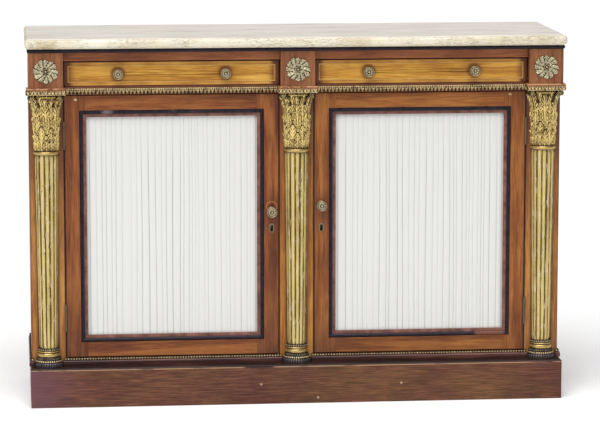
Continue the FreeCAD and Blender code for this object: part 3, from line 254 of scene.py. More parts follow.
def wood(name, grain, tones, gloss, seed, marks=None, contrast=1.0, figure=42, swirl=0.8, mottle=0.5):
    """Polished wood from a dark, a middle and a light tone: broad figure, fibres, pores, worn polish."""
    dark, between, light = tones.split()
    tree = Tree(name)
    lengthwise = tree.coords(GRAIN[grain], (seed, seed * 0.7, seed * 1.3))
    bands = tree.noise(lengthwise, figure, 6, 0.66, swirl)
    fibre = tree.noise(lengthwise, 420, 3, 0.6)
    cloud = tree.noise(tree.coords(shift=(seed, 0, seed)), 5.5, 3)
    total = tree.plus(tree.times(bands, BAND_SHARE * contrast), tree.times(fibre, FIBRE_SHARE * contrast))
    total = tree.plus(total, tree.times(cloud, mottle))
    centre = 0.5 * ((BAND_SHARE + FIBRE_SHARE) * contrast + mottle)
    level = tree.range(total, centre - TONE_SPREAD, centre + TONE_SPREAD)
    colour = tree.ramp(level, (0.0, dark), (0.5, between), (1.0, light))
    pores = tree.range(tree.noise(tree.coords(GRAIN[grain], (0, seed, 0)), 900, 1, 0.5), 0.36, 0.26)
    colour = tree.tint(colour, pores, dark, 0.55)
    if marks:
        colour = marks(tree, colour)
    relief = tree.minus(fibre, tree.times(pores, 0.6))
    return tree.finish(Base_Color=colour, Roughness=tree.range(bands, 0.3, 0.7, gloss + 0.08, gloss),
                       Normal=tree.bump(relief, 0.12, 0.5), Specular_IOR_Level=0.32)


STAIN_PAST_SILK = 0.6


def lip_stain(side):
    """The lip round the silk is stained another brown than the frame, to a little past the silk."""
    low, high = limits(f"{side}_silk")

    def marks(tree, colour):
        stain = tree.ramp(tree.noise(tree.coords(), 60, 4), (0.3, "5a342b"), (0.7, "8c5e50"))
        return tree.mix(tree.panel(low, high, -STAIN_PAST_SILK), colour, stain)
    return marks


LOW_DARKENING_TOP = {"left": 450, "right": 300}
LOW_DARKENING_FULL = 120
RIGHT_LOW_DARKENING_REACH = 160
HANDLED_LEVEL = 470
OLD_RING_RISE, OLD_HOLE_RISE = 12, 14.5


def door_marks(side):
    """Marks on a door frame: painted shade along the edges by the gaps, a darker tone toward the bottom and a
    handled patch.

    The left door also has the ring of an old knob, and its hole as a dark mark of painted shade.
    """
    low, high = limits(f"{side}_door_stiles")
    knob_x, _, knob_z = middle(f"{side}_door_knob")

    def marks(tree, colour):
        colour = lip_stain(side)(tree, colour)
        # Painted shade along the frame's edges beside the gaps.
        colour = tree.tint(colour, tree.ends(low, high, 2.2, 1.0, 0.85), "241013")
        # Darker toward the bottom.
        darker_low = tree.along(Z, LOW_DARKENING_TOP[side], LOW_DARKENING_FULL, 0.0, 0.4)
        if side == "right":
            darker_low = tree.times(darker_low, tree.within(X, -RIGHT_LOW_DARKENING_REACH, RIGHT_LOW_DARKENING_REACH, 20))
        colour = tree.tint(colour, darker_low, "3a1a10")
        handled = tree.near((knob_x, face_y, HANDLED_LEVEL), 12, 75)
        colour = tree.tint(colour, handled, "552413", 0.45)
        if side == "left":
            centre = (knob_x, face_y, knob_z + OLD_RING_RISE)
            ring = tree.minus(tree.near(centre, 13, 15), tree.near(centre, 11, 12.5))
            colour = tree.tint(colour, ring, "b9763f", 0.8)
            # Painted shade for the dark inside of the old knob's hole.
            hole = tree.near((knob_x, face_y, knob_z + OLD_HOLE_RISE), 1.8, 3.2)
            colour = tree.tint(colour, hole, "150a07")
        return colour
    return marks


GAP_SHADE_WIDTH, LINE_OUTER, LINE_INNER = 1.6, 9.2, 11.3


def drawer_marks(side):
    """Painted shade of the gap round the front, golden edging whose ends and the field's ends get painted
    shade of the blocks, a light line, and a field shaded round the knobs.
    """
    low, high = limits(f"{side}_drawer_front")

    def marks(tree, colour):
        streaks = tree.noise(tree.coords((0.3, 1, 1)), 60, 4)
        edging = tree.ramp(streaks, (0.3, "9a6422"), (0.7, "c8923f"))
        # Painted shade of the projecting blocks on the edging's ends.
        edging = tree.mix(tree.within(X, low[X] + 18, high[X] - 18, 7), srgb("5f3018"), edging)
        line = tree.ramp(streaks, (0.3, "b4823a"), (0.7, "d9aa58"))
        # Painted shade of the blocks over the field's ends.
        colour = tree.tint(colour, tree.ends(low, high, 20, 16, 0.8), "6b3512")
        for seat in drawer_knob_seats(side):
            colour = tree.tint(colour, tree.near(seat, 12, 24), "6d3310", 0.8)
        colour = tree.mix(tree.panel(low, high, LINE_INNER), line, colour)
        colour = tree.mix(tree.panel(low, high, LINE_OUTER), edging, colour)
        # Painted shade in the gap round the drawer front.
        return tree.mix(tree.panel(low, high, GAP_SHADE_WIDTH), srgb("3b1a0b"), colour)
    return marks


def board_marks(tree, colour):
    """Back boards of slightly different tone with dark joints between them."""
    low, high = limits("back_boards")
    pitch = (high[X] - low[X]) / BACK_BOARDS
    place = tree.math("DIVIDE", tree.minus(tree.axis(X), low[X] * MM), pitch * MM)
    pick = tree.nodes.new("ShaderNodeTexWhiteNoise")
    pick.noise_dimensions = "1D"
    tree.put(pick.inputs["W"], tree.math("FLOOR", place))
    colour = tree.tint(colour, pick.outputs["Value"], "8a6439", 0.55)
    from_middle = tree.math("ABSOLUTE", tree.minus(tree.math("FRACT", place), 0.5))
    return tree.tint(colour, tree.range(from_middle, 0.488, 0.498), "3a2614")


def pilaster_marks(place):
    """Darker and redder toward the top, with painted shade along the edges by the gaps and a painted shadow
    beside the shaft.
    """
    low, high = limits(f"pilaster_{place}")
    shaft_low, shaft_high = column_box[place]

    def marks(tree, colour):
        # Darker and redder toward the top.
        colour = tree.tint(colour, tree.along(Z, 420, 720), "5f2f1a", 0.75)
        colour = tree.tint(colour, tree.patches(22, 4, 0.4, 0.62, (1, 1, 0.3)), "6b3a1c", 0.3)
        # Painted shadow of the shaft on the pilaster.
        shaft_shadow = tree.within(X, shaft_low[X] + 1, shaft_high[X] - 1, 3.0)
        colour = tree.tint(colour, shaft_shadow, "32170b", 0.75)
        # Painted shade along the edges by the gaps.
        return tree.tint(colour, tree.ends(low, high, 1.8, 0.9, 0.7), "2c1410")
    return marks


def rail_marks(tree, colour):
    """The lip under the drawers is darker than the rail above them."""
    sill = limits("left_drawer_front")[0][Z]
    return tree.tint(colour, tree.along(Z, sill - 0.5, sill + 1.5, 0.7, 0.0), "532b1a")


def block_marks(tree, colour):
    """Light line along the foot of the block."""
    foot = limits("frieze_blocks")[0][Z]
    light_line = tree.times(tree.within(Z, foot + 3.5, foot + 6.6, 0.5), tree.patches(90, 4, 0.4, 0.55))
    return tree.tint(colour, light_line, "c4996c", 0.75)


def cap_marks(tree, colour):
    """Rubbed lower arris of the plinth cap."""
    foot = limits("plinth_cap")[0][Z]
    light_line = tree.times(tree.within(Z, foot - 1, foot + 2.6, 0.5), tree.patches(40, 5, 0.34, 0.5, (0.3, 1, 1)))
    return tree.tint(colour, light_line, "a98263", 0.85)


KNOCKS = ((-93, 50), (49, 14), (258, 47))


def plinth_marks(tree, colour):
    """Scuffs near the floor, a drift of tone along the board, a bloom at the left end and pale knocks."""
    front = limits("plinth_boards")[0][Y]
    scuffs = tree.times(tree.within(Z, -10, 20, 14), tree.patches(22, 5, 0.42, 0.62))
    colour = tree.tint(colour, scuffs, "2d1612", 0.5)
    drift = tree.patches(11, 4, 0.36, 0.64, (0.5, 1, 1))
    colour = tree.mix(0.3, colour, tree.mix(drift, srgb("5f2b26"), srgb("684a1f")))
    colour = tree.tint(colour, tree.along(X, -665, -500, 0.55, 0.0), "654150")
    for x, z in KNOCKS:
        colour = tree.tint(colour, tree.near((x, front, z), 1.5, 4), "b99a80", 0.8)
    return colour


def gilt(name, tones, rough, shine, seed, patches=0.9, specks=0.5, streak=(1, 1, 1), gesso=None):
    """Aged gilding from a bright, a middle and a dark tone: rubbed where it stands proud, dark in hollows
    with dirt and painted shade, and bare where gesso shows."""
    bright, between, dark = tones.split()
    tree = Tree(name)
    patch = tree.noise(tree.coords(streak, (seed, seed, 0)), 60, 6, 0.7)
    speck = tree.noise(tree.coords(shift=(seed, 0, 0)), 420, 3, 0.6)
    # The recess attribute darkens hollows: dirt and painted shade.
    level = tree.plus(tree.attribute("recess"), tree.swing(patch, patches))
    level = tree.plus(level, tree.swing(speck, specks), clamp=True)
    colour = tree.ramp(level, (0.05, bright), (0.3, between), (0.72, dark))
    if gesso:
        flakes = tree.noise(tree.coords((1, 1, 0.12), (0, seed, 0)), 260, 5, 0.65)
        colour = tree.tint(colour, tree.range(flakes, 0.54, 0.64, 0.0, 0.75), gesso)
        chips = tree.noise(tree.coords((1, 1, 0.3), (seed, 0, 0)), 190, 4, 0.6)
        colour = tree.tint(colour, tree.range(chips, 0.62, 0.7, 0.0, 0.8), dark)
    return tree.finish(Base_Color=colour, Roughness=tree.range(level, 0.1, 0.8, rough - 0.06, rough + 0.3),
                       Metallic=shine, Normal=tree.bump(speck, 0.15, 0.6))


def ebony(name, seed, *bare_spots):
    """Black polish with rubbed arrises; a bare spot has a place, an inner and an outer radius and a tone."""
    tree = Tree(name)
    wear = tree.noise(tree.coords(shift=(seed, 0, 0)), 60, 6, 0.7)
    colour = tree.ramp(tree.range(wear, 0.35, 0.8), (0.0, "130f1a"), (0.75, "261c2a"), (1.0, "6a554f"))
    for spot, inner, outer, tone in bare_spots:
        bare = tree.times(tree.near(spot, inner, outer), tree.range(wear, 0.3, 0.45))
        colour = tree.tint(colour, bare, tone)
    fibre = tree.noise(tree.coords((0.2, 0.2, 0.2)), 700, 2)
    return tree.finish(Base_Color=colour, Roughness=tree.range(wear, 0.3, 0.7, 0.24, 0.42),
                       Normal=tree.bump(fibre, 0.08, 0.5), Specular_IOR_Level=0.22)


def marble():
    """Cream stone with streaks along the slab, brown pits on the edges and a greyer top."""
    top_level = limits("marble_top")[1][Z]
    tree = Tree("marble")
    streaks = tree.noise(tree.coords((0.12, 1, 1)), 46, 6, 0.62, 0.6)
    cloud = tree.noise(tree.coords((0.5, 1, 1)), 16, 5, 0.6)
    top = tree.ramp(streaks, (0.32, "cdc6bb"), (0.5, "ece5da"), (0.68, "f8f2e8"))
    edge = tree.ramp(cloud, (0.3, "c2b291"), (0.48, "dbd2bb"), (0.7, "e6e0ce"))
    on_top = tree.along(Z, top_level - 2.3, top_level - 0.5)
    layer = tree.noise(tree.coords((0.3, 0.3, 1.3)), 330, 4, 0.6)
    grit = tree.noise(tree.coords((0.6, 0.6, 1)), 480, 3, 0.55)
    layers = tree.range(tree.plus(layer, tree.times(grit, 0.5)), 0.74, 0.6)
    pits = tree.times(layers, tree.patches(13, 4, 0.36, 0.54))
    dots = tree.range(tree.cells(tree.coords((0.7, 0.7, 1)), 190), 0.3, 0.12)
    holes = tree.times(dots, tree.patches(38, 3, 0.5, 0.62))
    pitted = tree.times(tree.math("MAXIMUM", pits, holes), tree.range(on_top, 0.0, 1.0, 0.62, 0.14))
    colour = tree.tint(tree.mix(on_top, edge, top), pitted, "998668")
    relief = tree.minus(tree.times(streaks, 0.2), pitted)
    return tree.finish(Base_Color=colour, Roughness=tree.range(pitted, 0.0, 1.0, 0.32, 0.7),
                       Normal=tree.bump(relief, 0.9, 0.9))


# Rise over the middle of the plate and radius of the dark round head and of two places on the slot
KEYHOLE_RIMS = ((3.25, 3.4), (-1.25, 2.6), (-5.25, 2.6))
KEYHOLE_FADE = 4.9


def keyhole_marks(tree, colour):
    """Painted shade round each keyhole, which makes its dark opening look larger."""
    for side in SIDES:
        front = limits(f"{side}_escutcheon")[0][Y]
        x, _, z = middle(f"{side}_escutcheon")
        for rise, radius in KEYHOLE_RIMS:
            # Painted shade: a dark round head and slot that widen the keyhole.
            colour = tree.tint(colour, tree.near((x, front, z + rise), radius, KEYHOLE_FADE), "14100c")
    return colour


def metal(name, tones, rough, seed, marks=None):
    """Cast or drawn metal from a bright and a dark tone, with dulled patches and fine scratches."""
    bright, dark = tones.split()
    tree = Tree(name)
    patch = tree.noise(tree.coords(shift=(seed, seed, seed)), 90, 5, 0.65)
    # The recess attribute darkens slots and hollows: dirt and painted shade.
    level = tree.plus(tree.attribute("recess"), tree.swing(patch, 1.1), clamp=True)
    colour = tree.ramp(level, (0.0, bright), (0.9, dark))
    if marks:
        colour = marks(tree, colour)
    scratch = tree.noise(tree.coords((1, 1, 0.08)), 900, 2)
    return tree.finish(Base_Color=colour, Roughness=tree.range(level, 0.0, 0.9, rough, rough + 0.3),
                       Metallic=0.9, Normal=tree.bump(scratch, 0.05, 0.5))


def silk_cloth():
    """Off-white silk with a fine weave, and painted shade in the folds and along the edges."""
    tree = Tree("silk")
    slub = tree.noise(tree.coords((1, 1, 0.02)), 700, 3, 0.6)
    weave = tree.noise(tree.coords((0.06, 1, 1)), 1500, 2)
    # The recess attribute greys the pleat valleys and the edges: painted shade.
    tone = tree.plus(tree.attribute("recess"), tree.swing(slub, 0.35), clamp=True)
    colour = tree.ramp(tone, (0.0, "d6d6d4"), (0.45, "cacac6"), (1.0, "8b8a82"))
    return tree.finish(Base_Color=colour, Roughness=0.62, Sheen_Weight=0.25, Sheen_Roughness=0.4,
                       Normal=tree.bump(tree.plus(slub, weave), 0.08, 0.6))


MAHOGANY = "4d210b 783f1b 9c5f2b"
GOLDEN_MAHOGANY = "582d0d 83491c a3682d"
SATINWOOD = "8e581a c0882f dfad4e"
INNER_DEAL = "97703f b6915d caa976"
LEFT_BARE_SPOT = ((-468, -147, 730), 4, 20, "6b6063")
RIGHT_BARE_SPOT = ((487, -147, 157), 32, 42, "704538")
looks = {
    "marble": marble(),
    "silk": silk_cloth(),
    "ebonised": ebony("ebonised", 1.0),
    "left_strip": ebony("ebonised_left_door", 2.0, LEFT_BARE_SPOT),
    "right_strip": ebony("ebonised_right_door", 3.0, RIGHT_BARE_SPOT),
    "left_rail": wood("mahogany_left_rails", "x", MAHOGANY, 0.3, 2.9, lip_stain("left")),
    "right_rail": wood("mahogany_right_rails", "x", GOLDEN_MAHOGANY, 0.3, 3.6, lip_stain("right")),
    "left_stile": wood("mahogany_left_stiles", "z", MAHOGANY, 0.3, 4.1, door_marks("left")),
    "right_stile": wood("mahogany_right_stiles", "z", GOLDEN_MAHOGANY, 0.3, 5.3, door_marks("right")),
    "left_drawer": wood("satinwood_left_drawer", "x", SATINWOOD, 0.26, 2.5, drawer_marks("left")),
    "right_drawer": wood("satinwood_right_drawer", "x", SATINWOOD, 0.26, 2.5, drawer_marks("right")),
    "block": wood("mahogany_blocks", "z", "5a301a 7d4b2c 955f38", 0.3, 6.1, block_marks),
    "rail": wood("mahogany_rails", "x", "653218 92522d ad6a3d", 0.3, 7.7, rail_marks),
    "side": wood("mahogany_sides", "z", "4a2310 6f3f22 8d5830", 0.34, 8.3, contrast=0.9,
                 figure=36, swirl=0.3),
    "satin_left": wood("satinwood_left", "z", "6d3c14 99622a be8845", 0.3, 1.1, pilaster_marks("left")),
    "satin_centre": wood("satinwood_middle", "z", "6a390e 9b6222 c08838", 0.3, 7.1, pilaster_marks("centre")),
    "satin_right": wood("satinwood_right", "z", "6a3a15 93602c b98545", 0.3, 4.7, pilaster_marks("right")),
    "plinth": wood("plinth_wood", "level", "26120c 553020 825439", 0.4, 9.9, plinth_marks, contrast=1.2,
                   figure=520, swirl=0.1, mottle=0.3),
    "cap": wood("plinth_cap", "level", "140b0b 2a1715 452a24", 0.36, 3.3, cap_marks),
    "base_polish": wood("base_polish", "level", "1d0e0c 472621 734838", 0.3, 5.7),
    "backing": wood("deal_backing", "z", "7f5f3a a58355 bd9b6a", 0.7, 3.7, board_marks, contrast=0.9),
    "deal": wood("deal", "z", "9c7442 bb9661 cfae7c", 0.62, 2.2),
    "deal_along": wood("deal_along", "x", INNER_DEAL, 0.62, 4.4),
    "deal_deep": wood("deal_deep", "y", INNER_DEAL, 0.62, 6.6),
    "pin_wood": wood("dovetail_pins", "y", "5d371c 7d5230 95673f", 0.55, 1.4),
    "left_plug": wood("plug_wood", "x", "b3936c d6bd98 ecdcbf", 0.5, 9.1),
    "right_plug": wood("stained_plug", "x", "8f6746 ab8562 c19d7b", 0.5, 5.1),
    "gilt": gilt("giltwood", "e6cc82 73541f 271807", 0.36, 0.5, 1.3, patches=1.6, specks=1.5),
    "shaft": gilt("giltwood_shaft", "cfb872 a08746 463316", 0.42, 0.4, 2.7, patches=1.5, streak=(1, 1, 0.09),
                  gesso="d9ceb2"),
    "leaf_brass": gilt("gilt_brass", "c8b07f 3c2d1b 0e0804", 0.4, 0.55, 3.9, patches=1.4, specks=1.1),
    "bright_brass": gilt("bright_brass", "bda266 84693c 332610", 0.36, 0.7, 5.2),
    "bead_brass": gilt("bead_brass", "dcc69a 75603f 1a1109", 0.4, 0.55, 4.6),
    "bronze": gilt("bronze", "bfb595 756a51 1e1910", 0.5, 0.6, 1.9, patches=0.7, specks=1.1),
    "dark_bronze": gilt("dark_bronze", "988a68 3d342a 0e0a09", 0.42, 0.5, 6.4),
    "knob_bronze": gilt("knob_bronze", "b3a685 6b5f47 1a150d", 0.4, 0.7, 2.2),
    "foot_bronze": gilt("foot_bronze", "5c5052 2c2529 0e0a0d", 0.42, 0.4, 7.5),
    "hinge_brass": metal("hinge_brass", "6f6350 28221b", 0.42, 2.6),
    "plate_brass": metal("plate_brass", "8b7a5e 4c3c2a", 0.44, 6.2, keyhole_marks),
    "iron": metal("iron_nails", "6a625a 26211d", 0.5, 4.9),
    "steel": metal("lock_steel", "8e8c86 4b4640", 0.42, 3.8),
}

NODE_LOOKS = {
    "marble_top": "marble", "eaves_moulding": "ebonised", "sub_top": "deal_along",
    "bottom_board": "deal_along", "back_boards": "backing", "front_rails": "rail",
    "side_left": "side", "side_right": "side",
    "central_partition": "deal", "dustboards": "deal_along", "drawer_guides": "deal_deep",
    "drawer_stops": "deal_along", "door_stops": "side", "shelves": "deal_along", "shelf_cleats": "deal_deep",
    "plinth_boards": "plinth", "plinth_cap": "cap", "base_moulding": "base_polish", "base_bead": "leaf_brass",
    "carcase_hinge_leaves": "hinge_brass", "frieze_blocks": "block", "frieze_moulding": "leaf_brass",
    "rosettes": "bronze", "capitals": "gilt", "column_bases": "bright_brass", "column_feet": "foot_bronze",
}
COLUMN_LOOKS = {"pilaster_{}": "satin_{}", "column_{}": "shaft"}
SIDE_LOOKS = {
    "{}_door_stiles": "{}_stile", "{}_door_rails": "{}_rail", "{}_door_moulding": "{}_strip",
    "{}_drawer_front": "{}_drawer", "{}_silk": "silk", "{}_door_panel": "deal", "{}_door_knob": "knob_bronze",
    "{}_escutcheon": "plate_brass", "{}_lock_case": "steel", "{}_lock_bolt": "steel",
    "{}_hinge_leaves": "hinge_brass", "{}_drawer_box": "deal_deep", "{}_drawer_knobs": "knob_bronze",
}
for places, table in ((column_x, COLUMN_LOOKS), (SIDES, SIDE_LOOKS)):
    for place in places:
        NODE_LOOKS.update({node.format(place): look.format(place) for node, look in table.items()})
for name, look in NODE_LOOKS.items():
    nodes[name].data.materials.clear()
    nodes[name].data.materials.append(looks[look])

# Slightly worn arrises on the flat boards

WELD_GAP, ARRIS_WIDTH, ARRIS_ANGLE = 0.01, 0.7, 40
SHARP = ["front_rails", "side_left", "side_right", "frieze_blocks", "pilaster_left", "pilaster_right",
         "shelves", "back_boards"]
SHARP += [f"{side}_{board}" for side in SIDES
          for board in ("door_stiles", "door_rails", "door_moulding", "drawer_front", "drawer_box")]
for name in SHARP:
    weld = nodes[name].modifiers.new("weld", "WELD")
    weld.merge_threshold = WELD_GAP * MM
    arris = nodes[name].modifiers.new("arris", "BEVEL")
    arris.width = ARRIS_WIDTH * MM
    arris.segments = 2
    arris.limit_method = "ANGLE"
    arris.angle_limit = math.radians(ARRIS_ANGLE)
    arris.harden_normals = True


# Mesh helpers

def blur(height, times, round_rows=False):
    """Smooths a grid of heights; rows that close on themselves wrap round."""
    out = height.copy()
    for _ in range(times):
        wide = np.pad(out, ((1, 1), (0, 0)), mode="wrap" if round_rows else "edge")
        out = (wide[:-2] + wide[1:-1] * 2 + wide[2:]) / 4
        wide = np.pad(out, ((0, 0), (1, 1)), mode="edge")
        out = (wide[:, :-2] + wide[:, 1:-1] * 2 + wide[:, 2:]) / 4
    return out


LEVEL_DIRT = 0.12


def recess_of(height, times, depth, round_rows=False):
    """How far points lie below their surroundings, from nought to one, with a little dirt on the level; the
    looks paint it as dirt and painted shade.
    """
    return np.clip((blur(height, times, round_rows) - height) / depth + LEVEL_DIRT, 0, 1)


class Part:
    """Points, faces, and dirt and painted shade of one patch of a piece, with its look."""

    def __init__(self, points, faces, look, recess=None, smooth=True):
        self.points = np.asarray(points, float).reshape(-1, 3)
        self.faces = np.asarray(faces)
        self.look = look
        self.recess = np.zeros(len(self.points)) if recess is None else np.asarray(recess, float).reshape(-1)
        self.smooth = smooth

    def moved(self, shift, turn=None):
        points = self.points if turn is None else self.points @ np.array(turn).T
        return Part(points + np.array(shift), self.faces, self.look, self.recess, self.smooth)


def grid_part(points, look, recess, round_rows=False, round_columns=False, smooth=True):
    """A sheet over a grid of points, joined up where a direction closes on itself."""
    rows, columns = points.shape[:2]
    r = np.arange(rows if round_rows else rows - 1)
    c = np.arange(columns if round_columns else columns - 1)
    r, c = np.meshgrid(r, c, indexing="ij")
    r2, c2 = (r + 1) % rows, (c + 1) % columns
    quads = np.stack([r * columns + c, r * columns + c2, r2 * columns + c2, r2 * columns + c], -1)
    return Part(points, quads.reshape(-1, 4), look, recess, smooth)


def box_part(low, high, look):
    x, y, z = zip(low, high)
    points = [(x[i], y[j], z[k]) for i in (0, 1) for j in (0, 1) for k in (0, 1)]
    faces = [(0, 1, 3, 2), (4, 6, 7, 5), (0, 4, 5, 1), (2, 3, 7, 6), (0, 2, 6, 4), (1, 5, 7, 3)]
    return Part(points, faces, look, smooth=False)


def polar(radius, angles, levels):
    """Points round the upright axis; a quarter turn is the front."""
    return np.stack([radius * np.cos(angles), -radius * np.sin(angles), levels], -1)


def turned_part(profile, look, angles, closed=False):
    """A profile of radius, level, and dirt and painted shade swung about the upright axis."""
    a, index = np.meshgrid(angles, range(len(profile)), indexing="ij")
    radius, level, dirt = np.array(profile, float)[index].transpose(2, 0, 1)
    return grid_part(polar(radius, a, level), look, dirt, closed)


def round_rim(angles):
    return np.ones_like(angles)


def polar_relief(look, radius, height_at, outline, rings, turns, depth, wall=True, spread=4):
    """A round relief that faces -Y: heights over a disc with a shaped rim, and its side wall."""
    angles = np.linspace(0, FULL_TURN, turns, endpoint=False)
    a, s = np.meshgrid(angles, np.linspace(0, 1, rings), indexing="ij")
    r = s * radius * outline(a)
    height = height_at(s, a)
    dirt = recess_of(height, spread, depth, True)
    if wall:
        r, a = (np.concatenate([grid, grid[:, -1:]], 1) for grid in (r, a))
        height = np.concatenate([height, np.zeros((turns, 1))], 1)
        dirt = np.concatenate([dirt, np.full((turns, 1), 0.8)], 1)
    return grid_part(np.stack([r * np.cos(a), -height, r * np.sin(a)], -1), look, dirt, True)


def facing(part, normal):
    """Turns a relief that faces -Y toward another level direction."""
    normal = np.array(normal, float)
    return part.moved((0, 0, 0), np.stack([np.cross(-normal, UP), -normal, UP], -1))


def stations(start, finish, pitch, fine):
    """Steps along a line, counted in whole pitches, and the points there."""
    start, finish = np.array(start, float), np.array(finish, float)
    count = max(1, round(np.linalg.norm(finish - start) / pitch))
    steps = np.linspace(0, count, count * fine + 1)
    return steps, start + (finish - start) * (steps / count)[:, None]


def swept(line, reach, level, out):
    """Points at a reach outward and a level upward from each point of a line."""
    return line[:, None, :] + reach[:, :, None] * np.array(out, float) + level[:, :, None] * UP


def add(name, data):
    item = bpy.data.objects.new(name, data)
    bpy.context.scene.collection.objects.link(item)
    return item


def piece(name, parts, body, replaced=None, at=(0, 0, 0)):
    """One mesh object from its parts, moved to a place and riding on a body."""
    mesh = bpy.data.meshes.new(name)
    used, points, faces, picks, smooth, dirt = [], [], [], [], [], []
    start = 0
    for part in parts:
        if part.look not in used:
            used.append(part.look)
        points.append(part.moved(at).points)
        faces += [tuple(int(v) + start for v in face) for face in part.faces]
        picks += [used.index(part.look)] * len(part.faces)
        smooth += [part.smooth] * len(part.faces)
        dirt.append(part.recess)
        start += len(part.points)
    mesh.from_pydata(np.concatenate(points) * MM, [], faces)
    for look in used:
        mesh.materials.append(looks[look])
    mesh.polygons.foreach_set("material_index", picks)
    mesh.polygons.foreach_set("use_smooth", smooth)
    field = mesh.attributes.new("recess", "FLOAT", "POINT")
    field.data.foreach_set("value", np.concatenate(dirt).astype(np.float32))
    mesh.update()
    item = add(name, mesh)
    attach(item, body)
    if replaced:
        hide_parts(replaced)
    return item


# Leaf ornament

OUTSIDE = -9.0


def leaf(across, up, width, height, lift, lobes, curl):
    """Height of a lobed leaf above its ground, or OUTSIDE beyond its outline."""
    t = np.clip(up / height, 0, 1)
    body = (0.6 + 0.4 * ease(0, 0.35, t)) * dome(t ** 2)
    half = width / 2 * body * (0.8 + 0.2 * np.abs(np.cos(HALF_TURN * lobes * t)))
    v = across / np.maximum(half, 1e-6)
    inside = (up >= 0) & (up <= height) & (np.abs(v) < 1)
    veins = 0.5 - 0.5 * np.cos(FULL_TURN * (lobes * t - 0.95 * np.abs(v)))
    rise = lift * (0.4 + 0.5 * t) * dome(v) ** 0.7 + 0.9 * ridge(across, 0.055 * width) * (1 - 0.5 * t)
    rise -= 1.7 * veins ** 2 * ease(0.12, 0.4, np.abs(v))
    rise += curl * ease(0.7, 0.97, t) * dome(v)
    return np.where(inside, rise, OUTSIDE)


def leaf_tips(across, up):
    """Leaf tips that hang from a beaded band; across in leaf widths, up from nought to one."""
    u = np.mod(across, 1) - 0.5
    v = u / (0.47 * np.clip(up / 0.5, 0.001, 1) ** 0.55)
    inside = np.abs(v) < 1
    tip = np.where(inside & (up > 0.06), 1.5 * dome(v), -0.9) + 0.45 * ridge(u, 0.08) * inside
    ball = np.hypot((np.mod(across * 2, 1) - 0.5) / 0.46, (up - 0.76) / 0.13)
    bead = np.where(ball < 1, 1.3 * dome(ball), -0.5)
    band = np.where(up > 0.9, 0.7, bead)
    return np.where(up > 0.62, band, tip)


def tip_strip(start, finish, out, profile, pitch):
    """Leaf tip moulding along a straight line; the profile lists reach and level from foot to top."""
    steps, line = stations(start, finish, pitch, 10)
    profile = np.array(profile, float)
    slope = np.gradient(profile, axis=0)
    normal = np.stack([slope[:, 1], -slope[:, 0]], -1)
    normal /= np.linalg.norm(normal, axis=1)[:, None]
    across, up = np.meshgrid(steps, np.linspace(0, 1, len(profile)), indexing="ij")
    height = leaf_tips(across, up)
    height[:, [0, -1]] = 0
    reach, level = (profile[:, way] + height * normal[:, way] for way in (0, 1))
    return grid_part(swept(line, reach, level, out), "leaf_brass", recess_of(height, 4, 0.9))


# Capitals; levels count from their foot

capital_low, capital_high = limits("capitals")
capital_height = capital_high[Z] - capital_low[Z]
RING, ABACUS, KNOT = 11.0, capital_height - 10.5, capital_height - 28.5
BELL_RADIUS, BELL_FLARE, BELL_LIP, BELL_LIMIT = 28.4, 4.6, 8.0, 45.5
ABACUS_HALF, ABACUS_DEPTH, ABACUS_HEIGHT, ABACUS_PITCH = 47.0, 46.6, 10.4, 8.6
SCROLL_REACH, SCROLL_DROP, ROLL_HALF = 52.5, 7.4, 5.0
COIL_RADIUS, COIL_TURNS = 5.6, 2.2
KNOT_RADIUS, KNOT_REACH = 5.4, 38.2


class Carving:
    """A carved surface built up leaf over leaf; each leaf is undercut along its outline."""

    def __init__(self, shape):
        self.height = np.full(shape, -1.8)
        # The bare ground starts fully dark: dirt and painted shade.
        self.dirt = np.ones(shape)

    def lay(self, rise, grown):
        """Adds a leaf; the grown outline marks the cut round it, sunk and given painted shade."""
        inside = rise > OUTSIDE + 1
        cut = (grown > OUTSIDE + 1) & ~inside
        # The cut round a leaf is sunk and given painted shade; where a leaf lies on top it is clean.
        self.height = np.where(cut, np.minimum(self.height, -1.2), self.height)
        top = inside & (rise > self.height)
        self.height = np.where(top, rise, self.height)
        self.dirt = np.where(top, 0.0, np.where(cut, 1.0, self.dirt))


